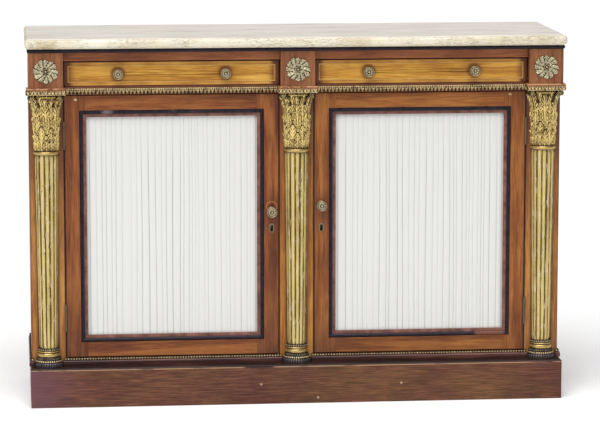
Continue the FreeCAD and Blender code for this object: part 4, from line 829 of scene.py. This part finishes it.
def capital_bell():
    """Tiers of leaves, tall ones behind low ones, as one carved surface that flares under the abacus."""
    top = ABACUS - RING
    a, z = np.meshgrid(np.linspace(0, HALF_TURN, 240), np.linspace(RING, ABACUS, 300), indexing="ij")
    up = z - RING
    ground = BELL_RADIUS + BELL_FLARE * (up / top) ** 1.5 + BELL_LIP * ease(0.8, 1.02, up / top)
    random = np.random.default_rng(3)
    carving = Carving(z.shape)

    def tier(count, shift, width, height, lift, lobes, curl, cut):
        for number in range(count + 1 if shift == 0 else count):
            sway = 1.6 * random.standard_normal() * (up / top) ** 2
            across = (a - HALF_TURN * (number + shift) / count) * ground + sway
            wide = width * (1 + 0.05 * random.standard_normal())
            tall = height * (1 + 0.02 * random.standard_normal())
            carving.lay(leaf(across, up, wide, tall, lift, lobes, curl),
                        leaf(across, up, wide + cut, tall + cut, lift, lobes, curl))

    tier(12, 0, 9, top + 1, 1.4, 15, 0.6, 1.0)
    tier(4, 0.5, 21, top - 3, 2.6, 13, 2.4, 1.8)
    tier(4, 0, 22, top - 10, 3.6, 12, 4.2, 2.0)
    tier(8, 0.5, 9, 84, 4.0, 9, 2.2, 1.8)
    tier(4, 0.5, 19, 58, 4.2, 6, 2.4, 2.8)
    tier(4, 0, 14, 37, 4.0, 4, 1.8, 2.6)
    tier(8, 0.5, 8, 20, 3.4, 3, 1.0, 1.6)
    radius = np.minimum(ground + carving.height, BELL_LIMIT)
    fine = recess_of(carving.height, 3, 0.7) - LEVEL_DIRT
    # Dirt and painted shade in the cuts round the leaves and in the hollows.
    dirt = 0.7 * blur(carving.dirt, 1) + 0.95 * recess_of(carving.height, 9, 2.0) + 1.6 * fine
    # Painted shade under the flaring top below the abacus and just above the ring.
    dirt += 0.3 * ease(0.55, 0.94, up / top) + 0.3 * ease(12, 2, up)
    return grid_part(polar(radius, a, z), "gilt", np.clip(dirt, 0, 1))


def corner_scroll(out, across):
    """Waisted roll under a corner of the abacus, with a coil on both ends."""
    half = [(0.01, -ROLL_HALF, 0.6), (5.0, -ROLL_HALF, 0.3), (6.2, -4.2, 0.0), (5.5, -2, 0.8), (5.9, 0, 0.1)]
    roll = half + [(radius, -level, dirt) for radius, level, dirt in half[-2::-1]]
    barrel = turned_part(roll, "leaf_brass", np.linspace(0, FULL_TURN, 30, endpoint=False), True)

    def coil_height(s, a):
        return 0.9 + 0.8 * np.cos(FULL_TURN * COIL_TURNS * s - a) * ease(0, 0.2, s)
    coil = polar_relief("leaf_brass", COIL_RADIUS, coil_height, round_rim, 14, 36, 0.5)
    place = out * SCROLL_REACH + UP * (ABACUS - SCROLL_DROP)
    ends = [facing(coil, across * way).moved(place + across * way * ROLL_HALF) for way in (-1, 1)]
    return [barrel.moved(place, np.stack([out, UP, across], -1))] + ends


def corner_leaf(side):
    """Leaf that rises under a corner of the abacus and rolls into a scroll."""
    out = np.array((side * math.sqrt(0.5), -math.sqrt(0.5), 0))
    across = np.array((-out[1], out[0], 0))
    t = np.linspace(0, 1, 26)
    reach = 32 + 20 * t ** 1.15
    level = ABACUS - 31 + 28.2 * t ** 0.62
    centre = out * reach[:, None] + UP * level[:, None]
    tangent = np.gradient(centre, axis=0)
    tangent /= np.linalg.norm(tangent, axis=1)[:, None]
    upward = np.cross(tangent, across) * -side
    around = np.linspace(0, FULL_TURN, 28, endpoint=False)
    half = (12.0 - 6.0 * t) * (0.84 + 0.16 * np.abs(np.cos(HALF_TURN * 5 * t)))
    thick = 3.4 - 1.0 * t
    fluting = 1 + 0.16 * np.cos(around * 6)
    points = (centre[:, None, :] + across * (half[:, None] * np.cos(around))[:, :, None]
              + upward[:, None, :] * (thick[:, None] * np.sin(around) * fluting)[:, :, None])
    # Darker in the flutes and toward the root: dirt and painted shade.
    dirt = np.clip(0.45 - 0.4 * np.cos(around * 6) + 0.3 * ease(0.4, 0.0, t)[:, None], 0, 1)
    return [grid_part(points, "gilt", dirt, False, True)] + corner_scroll(out, across)


def abacus_parts():
    """Block with a leaf tip moulding on its three free sides."""
    profile = [(0.2, 0.2), (0.6, 1.6), (1.0, 3.0), (1.2, 4.4), (1.3, 5.6), (1.3, 6.6), (1.1, 7.6), (1.0, 8.6),
               (0.8, 9.6), (0, 10.3)]
    finer = np.linspace(0, len(profile) - 1, 15)
    profile = np.stack([np.interp(finer, range(len(profile)), column) for column in zip(*profile)], -1)
    half, depth = ABACUS_HALF, ABACUS_DEPTH
    corners = [(-half, 0, ABACUS), (-half, -depth, ABACUS), (half, -depth, ABACUS), (half, 0, ABACUS)]
    block = box_part((-half, -depth, ABACUS), (half, 0, ABACUS + ABACUS_HEIGHT), "leaf_brass")
    outs = [(-1, 0, 0), FRONT, (1, 0, 0)]
    return [block] + [tip_strip(start, finish, out, profile, ABACUS_PITCH)
                      for start, finish, out in zip(corners, corners[1:], outs)]


def knot_part():
    """Small flower under the middle of the abacus."""
    def height(s, a):
        return 3.6 * np.sqrt(np.clip(1.02 - s ** 2, 0, 1)) * (0.7 + 0.3 * np.cos(5 * a) * s)

    def outline(a):
        return 0.85 + 0.15 * np.abs(np.cos(2.5 * a))
    flower = polar_relief("dark_bronze", KNOT_RADIUS, height, outline, 9, 40, 0.8)
    return flower.moved((0, -KNOT_REACH, KNOT))


def capital_parts():
    """Ring, leafy bell, bright lip, abacus, corner leaves and the knot."""
    ring = [(30.5, 0, 0.7), (31.6, 0.6, 0.3), (32.6, 2.4, 0), (33, 4.6, 0), (32.4, 7.2, 0), (31, 8.8, 0.4),
            (29.4, 9.4, 0.9), (29.4, RING + 1, 0.9)]
    lip = [(38.5, -8.4, 0.9), (41.6, -7.8, 0.3), (42.6, -6.4, 0), (42.4, -4.8, 0), (41.0, -3.8, 0.3),
           (38.5, -3.4, 0.9)]
    parts = [capital_bell(), turned_part(ring, "bright_brass", np.linspace(0, HALF_TURN, 60)),
             turned_part(lip, "bright_brass", np.linspace(0.3, 0.7, 40) * HALF_TURN).moved((0, 0, ABACUS))]
    return parts + abacus_parts() + corner_leaf(-1) + corner_leaf(1) + [knot_part()]


# Shafts, bases and feet; levels count from the foot of each

shaft_low, shaft_high = (corner[Z] for corner in column_box["centre"])
REEDS = 7
SHAFT_FOOT_RADIUS, SHAFT_TOP_RADIUS, REED_DEPTH = 23.2, 29.4, 3.4
COLLAR_LEVELS, COLLAR_LEAVES = (6, 13), 20
foot_low, foot_high = limits("column_feet")
foot_height = foot_high[Z] - foot_low[Z]
FOOT_RADIUS, FOOT_TAPER, FOOT_LOBES = 37.0, 3.0, 17


def shaft_parts():
    """Rounded reeds that narrow toward the foot, with fine hollows between them."""
    angles = np.linspace(0, HALF_TURN, REEDS * 18 + 1)
    a, z = np.meshgrid(angles, np.linspace(0, shaft_high - shaft_low, 60), indexing="ij")
    share = z / (shaft_high - shaft_low)
    radius = SHAFT_FOOT_RADIUS + (SHAFT_TOP_RADIUS - SHAFT_FOOT_RADIUS) * share
    turn = a / HALF_TURN * REEDS
    reed = dome((np.mod(turn, 1) * 2 - 1) * 0.98)
    rough = 0.12 * np.sin(z * 0.21 + a * 9) * np.sin(z * 0.047 + a * 4)
    ends = ease(0, 0.012, share) * ease(0, 0.012, 1 - share)
    depth = REED_DEPTH * radius / SHAFT_TOP_RADIUS
    height = depth * (reed * (0.35 + 0.65 * ends) - 1) + rough
    tone = 0.16 * np.sin(np.minimum(np.floor(turn), REEDS - 1) * 2.7 + 1.0)
    # Dirt and painted shade in the hollows between the reeds, with a random tone per reed.
    dirt = np.clip((1 - reed) * 1.7 - 0.1 + tone, 0, 1)
    return [grid_part(polar(radius + height, a, z), "shaft", dirt)]


def half_ring(low, high, rows, radius_at, look, dirt_and_shade_at):
    """A half turning whose radius, and dirt and painted shade, change with angle and level."""
    a, z = np.meshgrid(np.linspace(0, HALF_TURN, 241), np.linspace(low, high, rows), indexing="ij")
    return grid_part(polar(radius_at(a, z), a, z), look, np.clip(dirt_and_shade_at(a, z), 0, 1))


def bead_ring(low, high, bed, swell, count, look):
    """Round beads side by side on a hollow bed."""
    centre, half = (low + high) / 2, (high - low) / 2

    def bead(a, z):
        across = (np.mod(a / HALF_TURN * count, 1) - 0.5) * 2
        return dome(np.hypot(across, (z - centre) / half))
    return half_ring(low, high, 15, lambda a, z: bed + swell * bead(a, z), look,
                     lambda a, z: 0.95 - 1.1 * bead(a, z))


def base_parts():
    """Gilt beads, dark leaf collar, polished band with a bright fillet, and a beaded top collar."""
    low, high = COLLAR_LEVELS

    def collar_radius(a, z):
        tips = leaf_tips(a / HALF_TURN * COLLAR_LEAVES, np.clip((high - z) / (high - low), 0, 1))
        ends = ease(low, low + 1, z) * ease(high, high - 1, z)
        return 31.0 - 4.0 * ease(low, high, z) + 0.5 * tips * ends

    def collar_dirt(a, z):
        return 0.55 - 0.4 * np.cos(2 * COLLAR_LEAVES * a) * ease(low, low + 3, z)
    band = [(26.0, 13, 0.9), (27.4, 13.8, 0.4), (28.2, 16, 0.05), (28.4, 18.5, 0), (28.0, 21, 0),
            (27.0, 23, 0.2), (25.6, 23.8, 0.9), (25.6, 24.6, 0.9), (27.2, 25.2, 0.1), (27.7, 26.6, 0),
            (27.2, 28, 0.1), (26.0, 29, 0.8)]
    top = [(25.5, 35, 0.4), (17, 35, 0.9)]
    angles = np.linspace(0, HALF_TURN, 61)
    return [bead_ring(0, 6.2, 30.6, 2.6, 18, "bead_brass"),
            half_ring(low, high, 19, collar_radius, "dark_bronze", collar_dirt),
            turned_part(band, "bright_brass", angles),
            bead_ring(29, 35, 25.4, 2.2, 14, "dark_bronze"),
            turned_part(top, "dark_bronze", angles)]


def foot_parts():
    """Dark foot carved in upright lobes under a rounded rim."""
    def lobes(a):
        return np.abs(np.cos(a * FOOT_LOBES)) ** 0.6

    def radius(a, z):
        rim = FOOT_RADIUS - FOOT_TAPER * ease(6.5, foot_height, z) - 0.5 * ease(1.2, 0, z)
        return rim - 1.6 * (1 - lobes(a)) * ease(0, 1.5, z) * ease(9.6, 7.5, z)
    ledge = [(FOOT_RADIUS - FOOT_TAPER, foot_height, 0.2), (26, foot_height, 0.9)]
    return [half_ring(0, foot_height, 15, radius, "foot_bronze", lambda a, z: 0.75 - 0.7 * lobes(a)),
            turned_part(ledge, "foot_bronze", np.linspace(0, HALF_TURN, 61))]


COLUMN_PIECES = (
    ("capital", capital_parts(), capital_low[Z], "giltwood", "capitals"),
    ("reeded_shaft", shaft_parts(), shaft_low, "giltwood", "column_{}"),
    ("column_base", base_parts(), limits("column_bases")[0][Z], "gilt_brass", "column_bases"),
    ("column_foot", foot_parts(), foot_low[Z], "ebonised", "column_feet"),
)
for place, x in column_x.items():
    for title, parts, level, slot, node in COLUMN_PIECES:
        piece(f"{title}_{place}", parts, "carcase", node.format(place), (x, face_y, level))


# Rosettes and knobs

ROSETTE_RADIUS, ROSETTE_TWIST = 31.5, 0.3


def rosette_height(s, a):
    """Six waved petals folded along their middles, a ring of small leaves and a beaded heart."""
    turn = a + ROSETTE_TWIST * s
    petal = np.abs(np.cos(3 * turn))
    outer = 4.6 * mound(s, 0.68, 0.42) ** 0.7 * (0.02 + 0.98 * petal ** 0.5)
    outer -= 2.2 * ridge(petal - 1, 0.03) * ease(0.36, 0.55, s)
    outer += 0.55 * np.cos(30 * turn + 2 * np.sin(8 * s)) * ease(0.5, 0.8, s)
    outer += 0.35 * np.cos(FULL_TURN * 5 * s + 3 * np.cos(6 * turn)) * ease(0.5, 0.8, s)
    outer += 1.5 * ease(0.76, 0.9, s) * petal * (1 + 0.5 * np.sin(7 * a + 1))
    leaves = np.abs(np.sin(3 * turn))
    inner = 5.4 * mound(s, 0.38, 0.22) * (0.1 + 0.9 * leaves ** 0.8)
    inner -= 1.2 * ridge(leaves - 1, 0.05) * ease(0.25, 0.4, s)
    inner += 0.3 * np.cos(18 * turn) * ease(0.25, 0.34, s)
    beads = 6.6 * dome(s, 0.2, 0.07) * (0.2 + 0.8 * np.abs(np.cos(4 * a)))
    boss = 8.2 * dome(s, half=0.12)
    return np.maximum.reduce([outer, inner, beads, boss, np.full_like(s, 0.9)])


def rosette_outline(a):
    petal = np.abs(np.cos(3 * (a + ROSETTE_TWIST)))
    wave = 0.03 * np.cos(2 * a + 0.8) + 0.02 * np.cos(5 * a + 2) + 0.01 * np.cos(15 * a + 1)
    return 0.81 + 0.14 * petal ** 0.4 - 0.05 * ridge(petal - 1, 0.03) + wave


rosette = polar_relief("bronze", ROSETTE_RADIUS, rosette_height, rosette_outline, 60, 320, 2.0, spread=24)
rosette_back, rosette_z = limits("rosettes")[1][Y], middle("rosettes")[Z]
for place, x in column_x.items():
    piece(f"rosette_{place}", [rosette], "carcase", "rosettes", (x, rosette_back, rosette_z))

KNOB_FACE_RADIUS, KNOB_FACE_OUT, KNOB_TURNS = 12.6, 20.2, 64
AXIS_TO_FRONT = ((1, 0, 0), (0, 0, -1), (0, 1, 0))


def knob_face(s, a):
    """Raised rim, eight cleft petals and a boss on a slightly domed face."""
    petal = np.abs(np.cos(4 * a))
    rim = 1.6 * mound(s, 0.9, 0.09)
    petals = 1.8 * mound(s, 0.58, 0.2) * (0.1 + 0.9 * petal ** 0.6)
    petals -= 0.8 * ridge(petal - 1, 0.04) * ease(0.4, 0.5, s) * (s < 0.78)
    return np.maximum.reduce([rim, petals, 2.2 * dome(s, half=0.24)]) + 1.6 * (1 - s ** 2)


def knob_parts():
    """Stepped foot, waisted neck and a chased face; the axis runs along -Y from the seat."""
    profile = [(12.2, 0, 0.6), (12.4, 1.2, 0.1), (11.6, 2.2, 0.2), (9.4, 2.8, 0.8), (8.8, 3.6, 0.4),
               (7.0, 4.4, 0.7), (5.9, 6.5, 0.5), (5.8, 9.5, 0.5), (6.8, 11.5, 0.7), (8.6, 12.8, 0.6),
               (11.4, 14.2, 0.3), (12.9, 15.8, 0.1), (13.2, 17.4, 0), (13.1, 18.8, 0),
               (KNOB_FACE_RADIUS, KNOB_FACE_OUT, 0.2)]
    face = polar_relief("knob_bronze", KNOB_FACE_RADIUS, knob_face, round_rim, 26, KNOB_TURNS, 0.55, False)
    body = turned_part(profile, "knob_bronze", np.linspace(0, FULL_TURN, KNOB_TURNS, endpoint=False), True)
    return [face.moved((0, -KNOB_FACE_OUT, 0)), body.moved((0, 0, 0), AXIS_TO_FRONT)]


knob = knob_parts()
for side in SIDES:
    for number, seat in enumerate(drawer_knob_seats(side), start=1):
        piece(f"{side}_drawer_knob_{number}", knob, f"{side}_drawer", f"{side}_drawer_knobs", seat)
    knob_x, _, knob_z = middle(f"{side}_door_knob")
    piece(f"{side}_pull_knob", knob, f"{side}_door", f"{side}_door_knob", (knob_x, face_y, knob_z))


# Pale plugs near the upper outer corners of the doors

PLUG_SPOTS = {"left": (-545, face_y, 760), "right": (534, face_y, 763)}


def plug_part(look):
    """Slightly domed, oval plug."""
    def height(s, a):
        return 0.35 - 0.2 * s ** 2 + 0.05 * np.cos(3 * a) * s

    def outline(a):
        return 1 + 0.12 * np.cos(2 * a + 0.6)
    return polar_relief(look, 3.4, height, outline, 7, 28, 0.2)


for side, spot in PLUG_SPOTS.items():
    piece(f"{side}_door_plug", [plug_part(f"{side}_plug")], f"{side}_door", at=spot)


# Gilt leaf strips over the doors and beads at the foot

STRIP_PROFILE = [(0.0, 0.0), (7.6, 0.1), (8.6, 1.4), (9.8, 2.9), (11.2, 4.4), (12.8, 5.9), (14.4, 7.2),
                 (15.6, 8.6), (16.6, 10.0), (17.6, 11.4), (18.6, 12.6), (18.8, 13.4), (0.0, 13.5)]
STRIP_PITCH = 9.12
strip_low, strip_high = limits("frieze_moulding")
block_half = column_x["right"] - strip_high[X]
strip_ends = {"left": (strip_low[X], -block_half), "right": (block_half, strip_high[X])}
for side, ends in strip_ends.items():
    start, finish = ((x, face_y, strip_low[Z]) for x in ends)
    strip = tip_strip(start, finish, FRONT, STRIP_PROFILE, STRIP_PITCH)
    piece(f"leaf_strip_{side}", [strip], "carcase", "frieze_moulding")

BEAD_PITCH = 6.8
FOOT_GAP = 0.3
bead_low, bead_high = limits("base_bead")
bead_height = bead_high[Z] - bead_low[Z]


def bead_run(start, finish, out, reach):
    """Bead and reel on a half round core."""
    steps, line = stations(start, finish, BEAD_PITCH, 12)
    place = np.mod(steps, 1)
    swell = np.maximum(dome(place, 0.36, 0.33), 0.62 * dome(place, 0.86, 0.13))
    turn = np.linspace(-HALF_TURN / 2, HALF_TURN / 2, 9)
    radius = bead_height / 2 * (0.45 + 0.55 * swell)[:, None]
    points = swept(line, reach - bead_height / 2 + radius * np.cos(turn),
                   bead_height / 2 + radius * np.sin(turn), out)
    # Dirt and painted shade between the beads and toward their upper and lower sides.
    return grid_part(points, "bead_brass", np.clip(0.75 - swell[:, None] * np.cos(turn) * 0.85, 0, 1))


def bead_bed(start, finish, out, reach):
    """Hollow that the beads lie in, between two narrow edges."""
    bottom = reach - bead_height / 2
    section = [(0, 0), (reach, 0), (reach - 0.2, 0.5), (bottom, 0.6), (bottom, bead_height - 0.6),
               (reach - 0.2, bead_height - 0.5), (reach - 1.0, bead_height), (0, bead_height)]
    outward, upward = (np.tile(column, (2, 1)) for column in np.array(section, float).T)
    points = swept(np.array((start, finish), float), outward, upward, out)
    # The bed is darkened evenly: dirt and painted shade in the hollow.
    return grid_part(points, "bead_brass", np.full(outward.shape, 0.7), smooth=False)


def bead_parts():
    """Beads between the column feet, past the outer feet and along both sides."""
    outer = column_x["right"]
    foot = foot_high[X] - outer + FOOT_GAP
    flank = limits("pilaster_right")[1][X]
    front_reach, side_reach = face_y - bead_low[Y], bead_high[X] - flank
    level = bead_low[Z]
    parts = []
    for side in SIDES.values():
        runs = [((side * start, face_y, level), (side * finish, face_y, level), FRONT, front_reach)
                for start, finish in ((foot, outer - foot), (outer + foot, bead_high[X]))]
        front_end, back_end = ((side * flank, y, level) for y in (bead_low[Y], bead_high[Y]))
        runs.append((front_end, back_end, (side, 0, 0), side_reach))
        for run in runs:
            parts += [bead_bed(*run), bead_run(*run)]
    return parts


piece("bead_and_reel", bead_parts(), "carcase", "base_bead")


# Silk

PLEATS, PLEAT_STEPS, SILK_ROWS = 33, 18, 70
SILK_SEEDS = {"left": 7, "right": 11}
FRONT_ROOM, BACK_ROOM = 0.1, 0.65


def silk_sheet(side):
    """Gathered cloth in uneven upright pleats, tucked behind the frame."""
    low, high = limits(f"{side}_silk")
    size = high - low
    random = np.random.default_rng(SILK_SEEDS[side])
    widths = 1 + 0.34 * random.standard_normal(PLEATS).clip(-1.5, 1.6)
    edges = np.concatenate([[0], np.cumsum(widths)]) / widths.sum()
    spans = [np.linspace(*ends, PLEAT_STEPS, endpoint=False) for ends in zip(edges, edges[1:])]
    share = np.concatenate(spans + [[1.0]])
    index = np.minimum(np.searchsorted(edges, share, side="right") - 1, PLEATS - 1)

    def per_pleat():
        return random.random(PLEATS)[index][:, None]
    place = (share - edges[index]) / (edges[index + 1] - edges[index])
    p, z = np.meshgrid(place, np.linspace(0, 1, SILK_ROWS), indexing="ij")
    share = share[:, None]
    lean = 0.5 + 0.3 * (per_pleat() - 0.5)
    drift = 0.06 * np.sin(FULL_TURN * (z * (0.6 + 0.5 * per_pleat()) + per_pleat()))
    crest = np.clip(lean + drift, 0.25, 0.75)
    fold = np.where(p < crest, p / crest, (1 - p) / (1 - crest))
    bulge = (1 - (1 - fold) ** 4.2) * (0.55 + 0.45 * per_pleat())
    wander = 1.1 * np.sin(FULL_TURN * (z * 0.7 + share * 3)) * np.sin(HALF_TURN * share)
    points = np.stack([low[X] + size[X] * share + wander,
                       low[Y] + FRONT_ROOM + (size[Y] - FRONT_ROOM - BACK_ROOM) * (1 - bulge),
                       low[Z] + size[Z] * z], -1)
    # Painted shadow lines in the pleat valleys, fainter toward the top.
    fold_shade = 1.15 * (0.25 + 0.75 * per_pleat()) * (0.45 + 0.55 * ease(1.0, 0.7, z)) * (1 - fold) ** 9
    # Painted shade of the frame's lip near the left and right edges.
    shaded = 0.4 * ease(0.055, 0.02, np.minimum(share, 1 - share))
    cloth = piece(f"pleated_silk_{side}", [grid_part(points, "silk", np.clip(fold_shade + shaded, 0, 1))],
                  f"{side}_door", f"{side}_silk")


for side in SIDES:
    silk_sheet(side)


# Screws, nails and dovetails

HINGE_LENGTH, HALF_LEAF_GAP = 69.0, 0.75
HINGE_SCREWS = ((12.0, 9.7), (34.5, 5.2), (57.0, 9.7))
LOCK_SCREW_INSET = 6
PINS = 4
PIN_PROUD, PIN_SUNK = 0.15, 0.1


def screw_part(radius, look):
    """Slotted head, seen from -Y."""
    def height(s, a):
        slot = np.abs(s * np.cos(a + 0.5)) < 0.13
        return np.where(slot, 0.06, 0.34 - 0.14 * s ** 2)
    return polar_relief(look, radius, height, round_rim, 18, 60, 0.12)


def hinge_screws(side):
    """Heads on the door's leaves and on the carcase's leaves of a door's two hinges."""
    low, high = limits(f"{side}_hinge_leaves")
    screw = screw_part(3.0, "hinge_brass")
    pin_x = (low[X] + high[X]) / 2
    spots = [(high[Y] - inset, foot + rise) for foot in (low[Z], high[Z] - HINGE_LENGTH)
             for rise, inset in HINGE_SCREWS]
    for owner, body, way in (("door", f"{side}_door", SIDES[side]), ("carcase", "carcase", -SIDES[side])):
        heads = [facing(screw, (way, 0, 0)).moved((pin_x - way * HALF_LEAF_GAP, y, z)) for y, z in spots]
        piece(f"{side}_{owner}_hinge_screws", heads, body)


def lock_screws(side):
    """Four heads on the back of a lock."""
    low, high = limits(f"{side}_lock_case")
    screw = facing(screw_part(2.6, "steel"), (0, 1, 0))
    heads = [screw.moved((x, high[Y], z)) for x in (low[X] + LOCK_SCREW_INSET, high[X] - LOCK_SCREW_INSET)
             for z in (low[Z] + LOCK_SCREW_INSET, high[Z] - LOCK_SCREW_INSET)]
    piece(f"{side}_lock_screws", heads, f"{side}_door")


def pin_part(flat, face_x, way):
    """Dovetail pin from its four corners on a drawer side, a little proud of it."""
    points = [(x, y, z) for x in (face_x + way * PIN_PROUD, face_x - way * PIN_SUNK) for y, z in flat]
    walls = [(n, (n + 1) % 4, (n + 1) % 4 + 4, n + 4) for n in range(4)]
    return Part(points, [(0, 1, 2, 3)] + walls, "pin_wood", smooth=False)


def dovetails(side):
    """Pins at the front and back ends of both sides of a drawer."""
    low, high = limits(f"{side}_drawer_box")
    front = (low[Y] + 13.0, low[Y] + 0.4, 4.0, 2.0)
    back = (high[Y] - 9.0, high[Y] - 0.2, 3.2, 2.2)
    pins = []
    for way, face_x in ((-1, low[X]), (1, high[X])):
        for step in range(PINS):
            z = low[Z] + (high[Z] - low[Z]) * (step + 0.5) / PINS
            for wide_y, narrow_y, wide, narrow in (front, back):
                wide_end = [(wide_y, z - wide), (wide_y, z + wide)]
                narrow_end = [(narrow_y, z + narrow), (narrow_y, z - narrow)]
                pins.append(pin_part(wide_end + narrow_end, face_x, way))
    piece(f"{side}_drawer_dovetails", pins, f"{side}_drawer")


def back_nails():
    """Two uneven rows of nails down every back board, at the top, the shelf and the bottom."""
    def height(s, a):
        return 0.7 - 0.35 * s ** 2 + 0.06 * np.cos(3 * a) * s

    def outline(a):
        return 1 + 0.08 * np.cos(4 * a)
    nail = facing(polar_relief("iron", 2.6, height, outline, 8, 24, 0.2), (0, 1, 0))
    low, high = limits("back_boards")
    board = (high[X] - low[X]) / BACK_BOARDS
    levels = (low[Z] + 12, middle("shelves")[Z], high[Z] - 14)
    heads = [nail.moved((low[X] + board * (number + share), high[Y], z + 2 * (number % 2)))
             for number in range(BACK_BOARDS) for share in (0.18, 0.82) for z in levels]
    piece("back_nails", heads, "carcase")


for side in SIDES:
    hinge_screws(side)
    lock_screws(side)
    dovetails(side)
back_nails()


# Floor, light and camera, in metres and degrees

FLOOR_HALF, FLOOR_TONE = 60, (0.97, 0.97, 0.97, 1)
WORLD_TONE, WORLD_STRENGTH = (1, 1, 1, 1), 0.32
KEY_STRENGTH, KEY_ANGLE, KEY_DIRECTION = 2.9, 50, (0.12, 0.5, -0.86)
GLOW_POWER, GLOW_SIZE, GLOW_PLACE, GLOW_TARGET = 22, (1.4, 2.0), (-3.2, -3.4, 2.2), (0, 0, 0.5)
CAMERA_TARGET, CAMERA_DISTANCE = (0.0131, -0.1, 0.4432), 7.5
CAMERA_AZIMUTH, CAMERA_ELEVATION = math.radians(5.478), math.radians(8.507)
FOCAL_PIXELS, IMAGE_PIXELS, SENSOR_MM = 2997.3, 600, 36


def aim(item, direction):
    """Turns a light or the camera to look along a direction."""
    item.rotation_euler = Vector(direction).to_track_quat("-Z", "Y").to_euler()


def make_floor():
    mesh = bpy.data.meshes.new("floor")
    corners = [(-1, -1), (1, -1), (1, 1), (-1, 1)]
    mesh.from_pydata([(x * FLOOR_HALF, y * FLOOR_HALF, 0) for x, y in corners], [], [(0, 1, 2, 3)])
    mesh.materials.append(Tree("floor").finish(Base_Color=FLOOR_TONE, Roughness=0.95))
    add("floor", mesh)


def make_world():
    world = bpy.data.worlds.new("studio")
    world.use_nodes = True
    background = world.node_tree.nodes["Background"]
    background.inputs["Color"].default_value = WORLD_TONE
    background.inputs["Strength"].default_value = WORLD_STRENGTH
    bpy.context.scene.world = world
    bpy.context.scene.view_settings.view_transform = "Standard"


def make_lights():
    """Broad soft light from the upper front and a weak glow from the left."""
    key = bpy.data.lights.new("soft_key", "SUN")
    key.energy = KEY_STRENGTH
    key.angle = math.radians(KEY_ANGLE)
    aim(add("soft_key", key), KEY_DIRECTION)
    glow = bpy.data.lights.new("side_glow", "AREA")
    glow.shape = "RECTANGLE"
    glow.size, glow.size_y = GLOW_SIZE
    glow.energy = GLOW_POWER
    lamp = add("side_glow", glow)
    lamp.location = GLOW_PLACE
    aim(lamp, Vector(GLOW_TARGET) - Vector(GLOW_PLACE))


def make_camera():
    data = bpy.data.cameras.new("camera")
    data.sensor_width = SENSOR_MM
    data.lens = FOCAL_PIXELS * SENSOR_MM / IMAGE_PIXELS
    data.clip_end = 200
    camera = add("camera", data)
    level = math.cos(CAMERA_ELEVATION)
    view = Vector((math.sin(CAMERA_AZIMUTH) * level, math.cos(CAMERA_AZIMUTH) * level,
                   -math.sin(CAMERA_ELEVATION)))
    camera.location = Vector(CAMERA_TARGET) - view * CAMERA_DISTANCE
    aim(camera, view)
    bpy.context.scene.camera = camera


make_floor()
make_world()
make_lights()
make_camera()
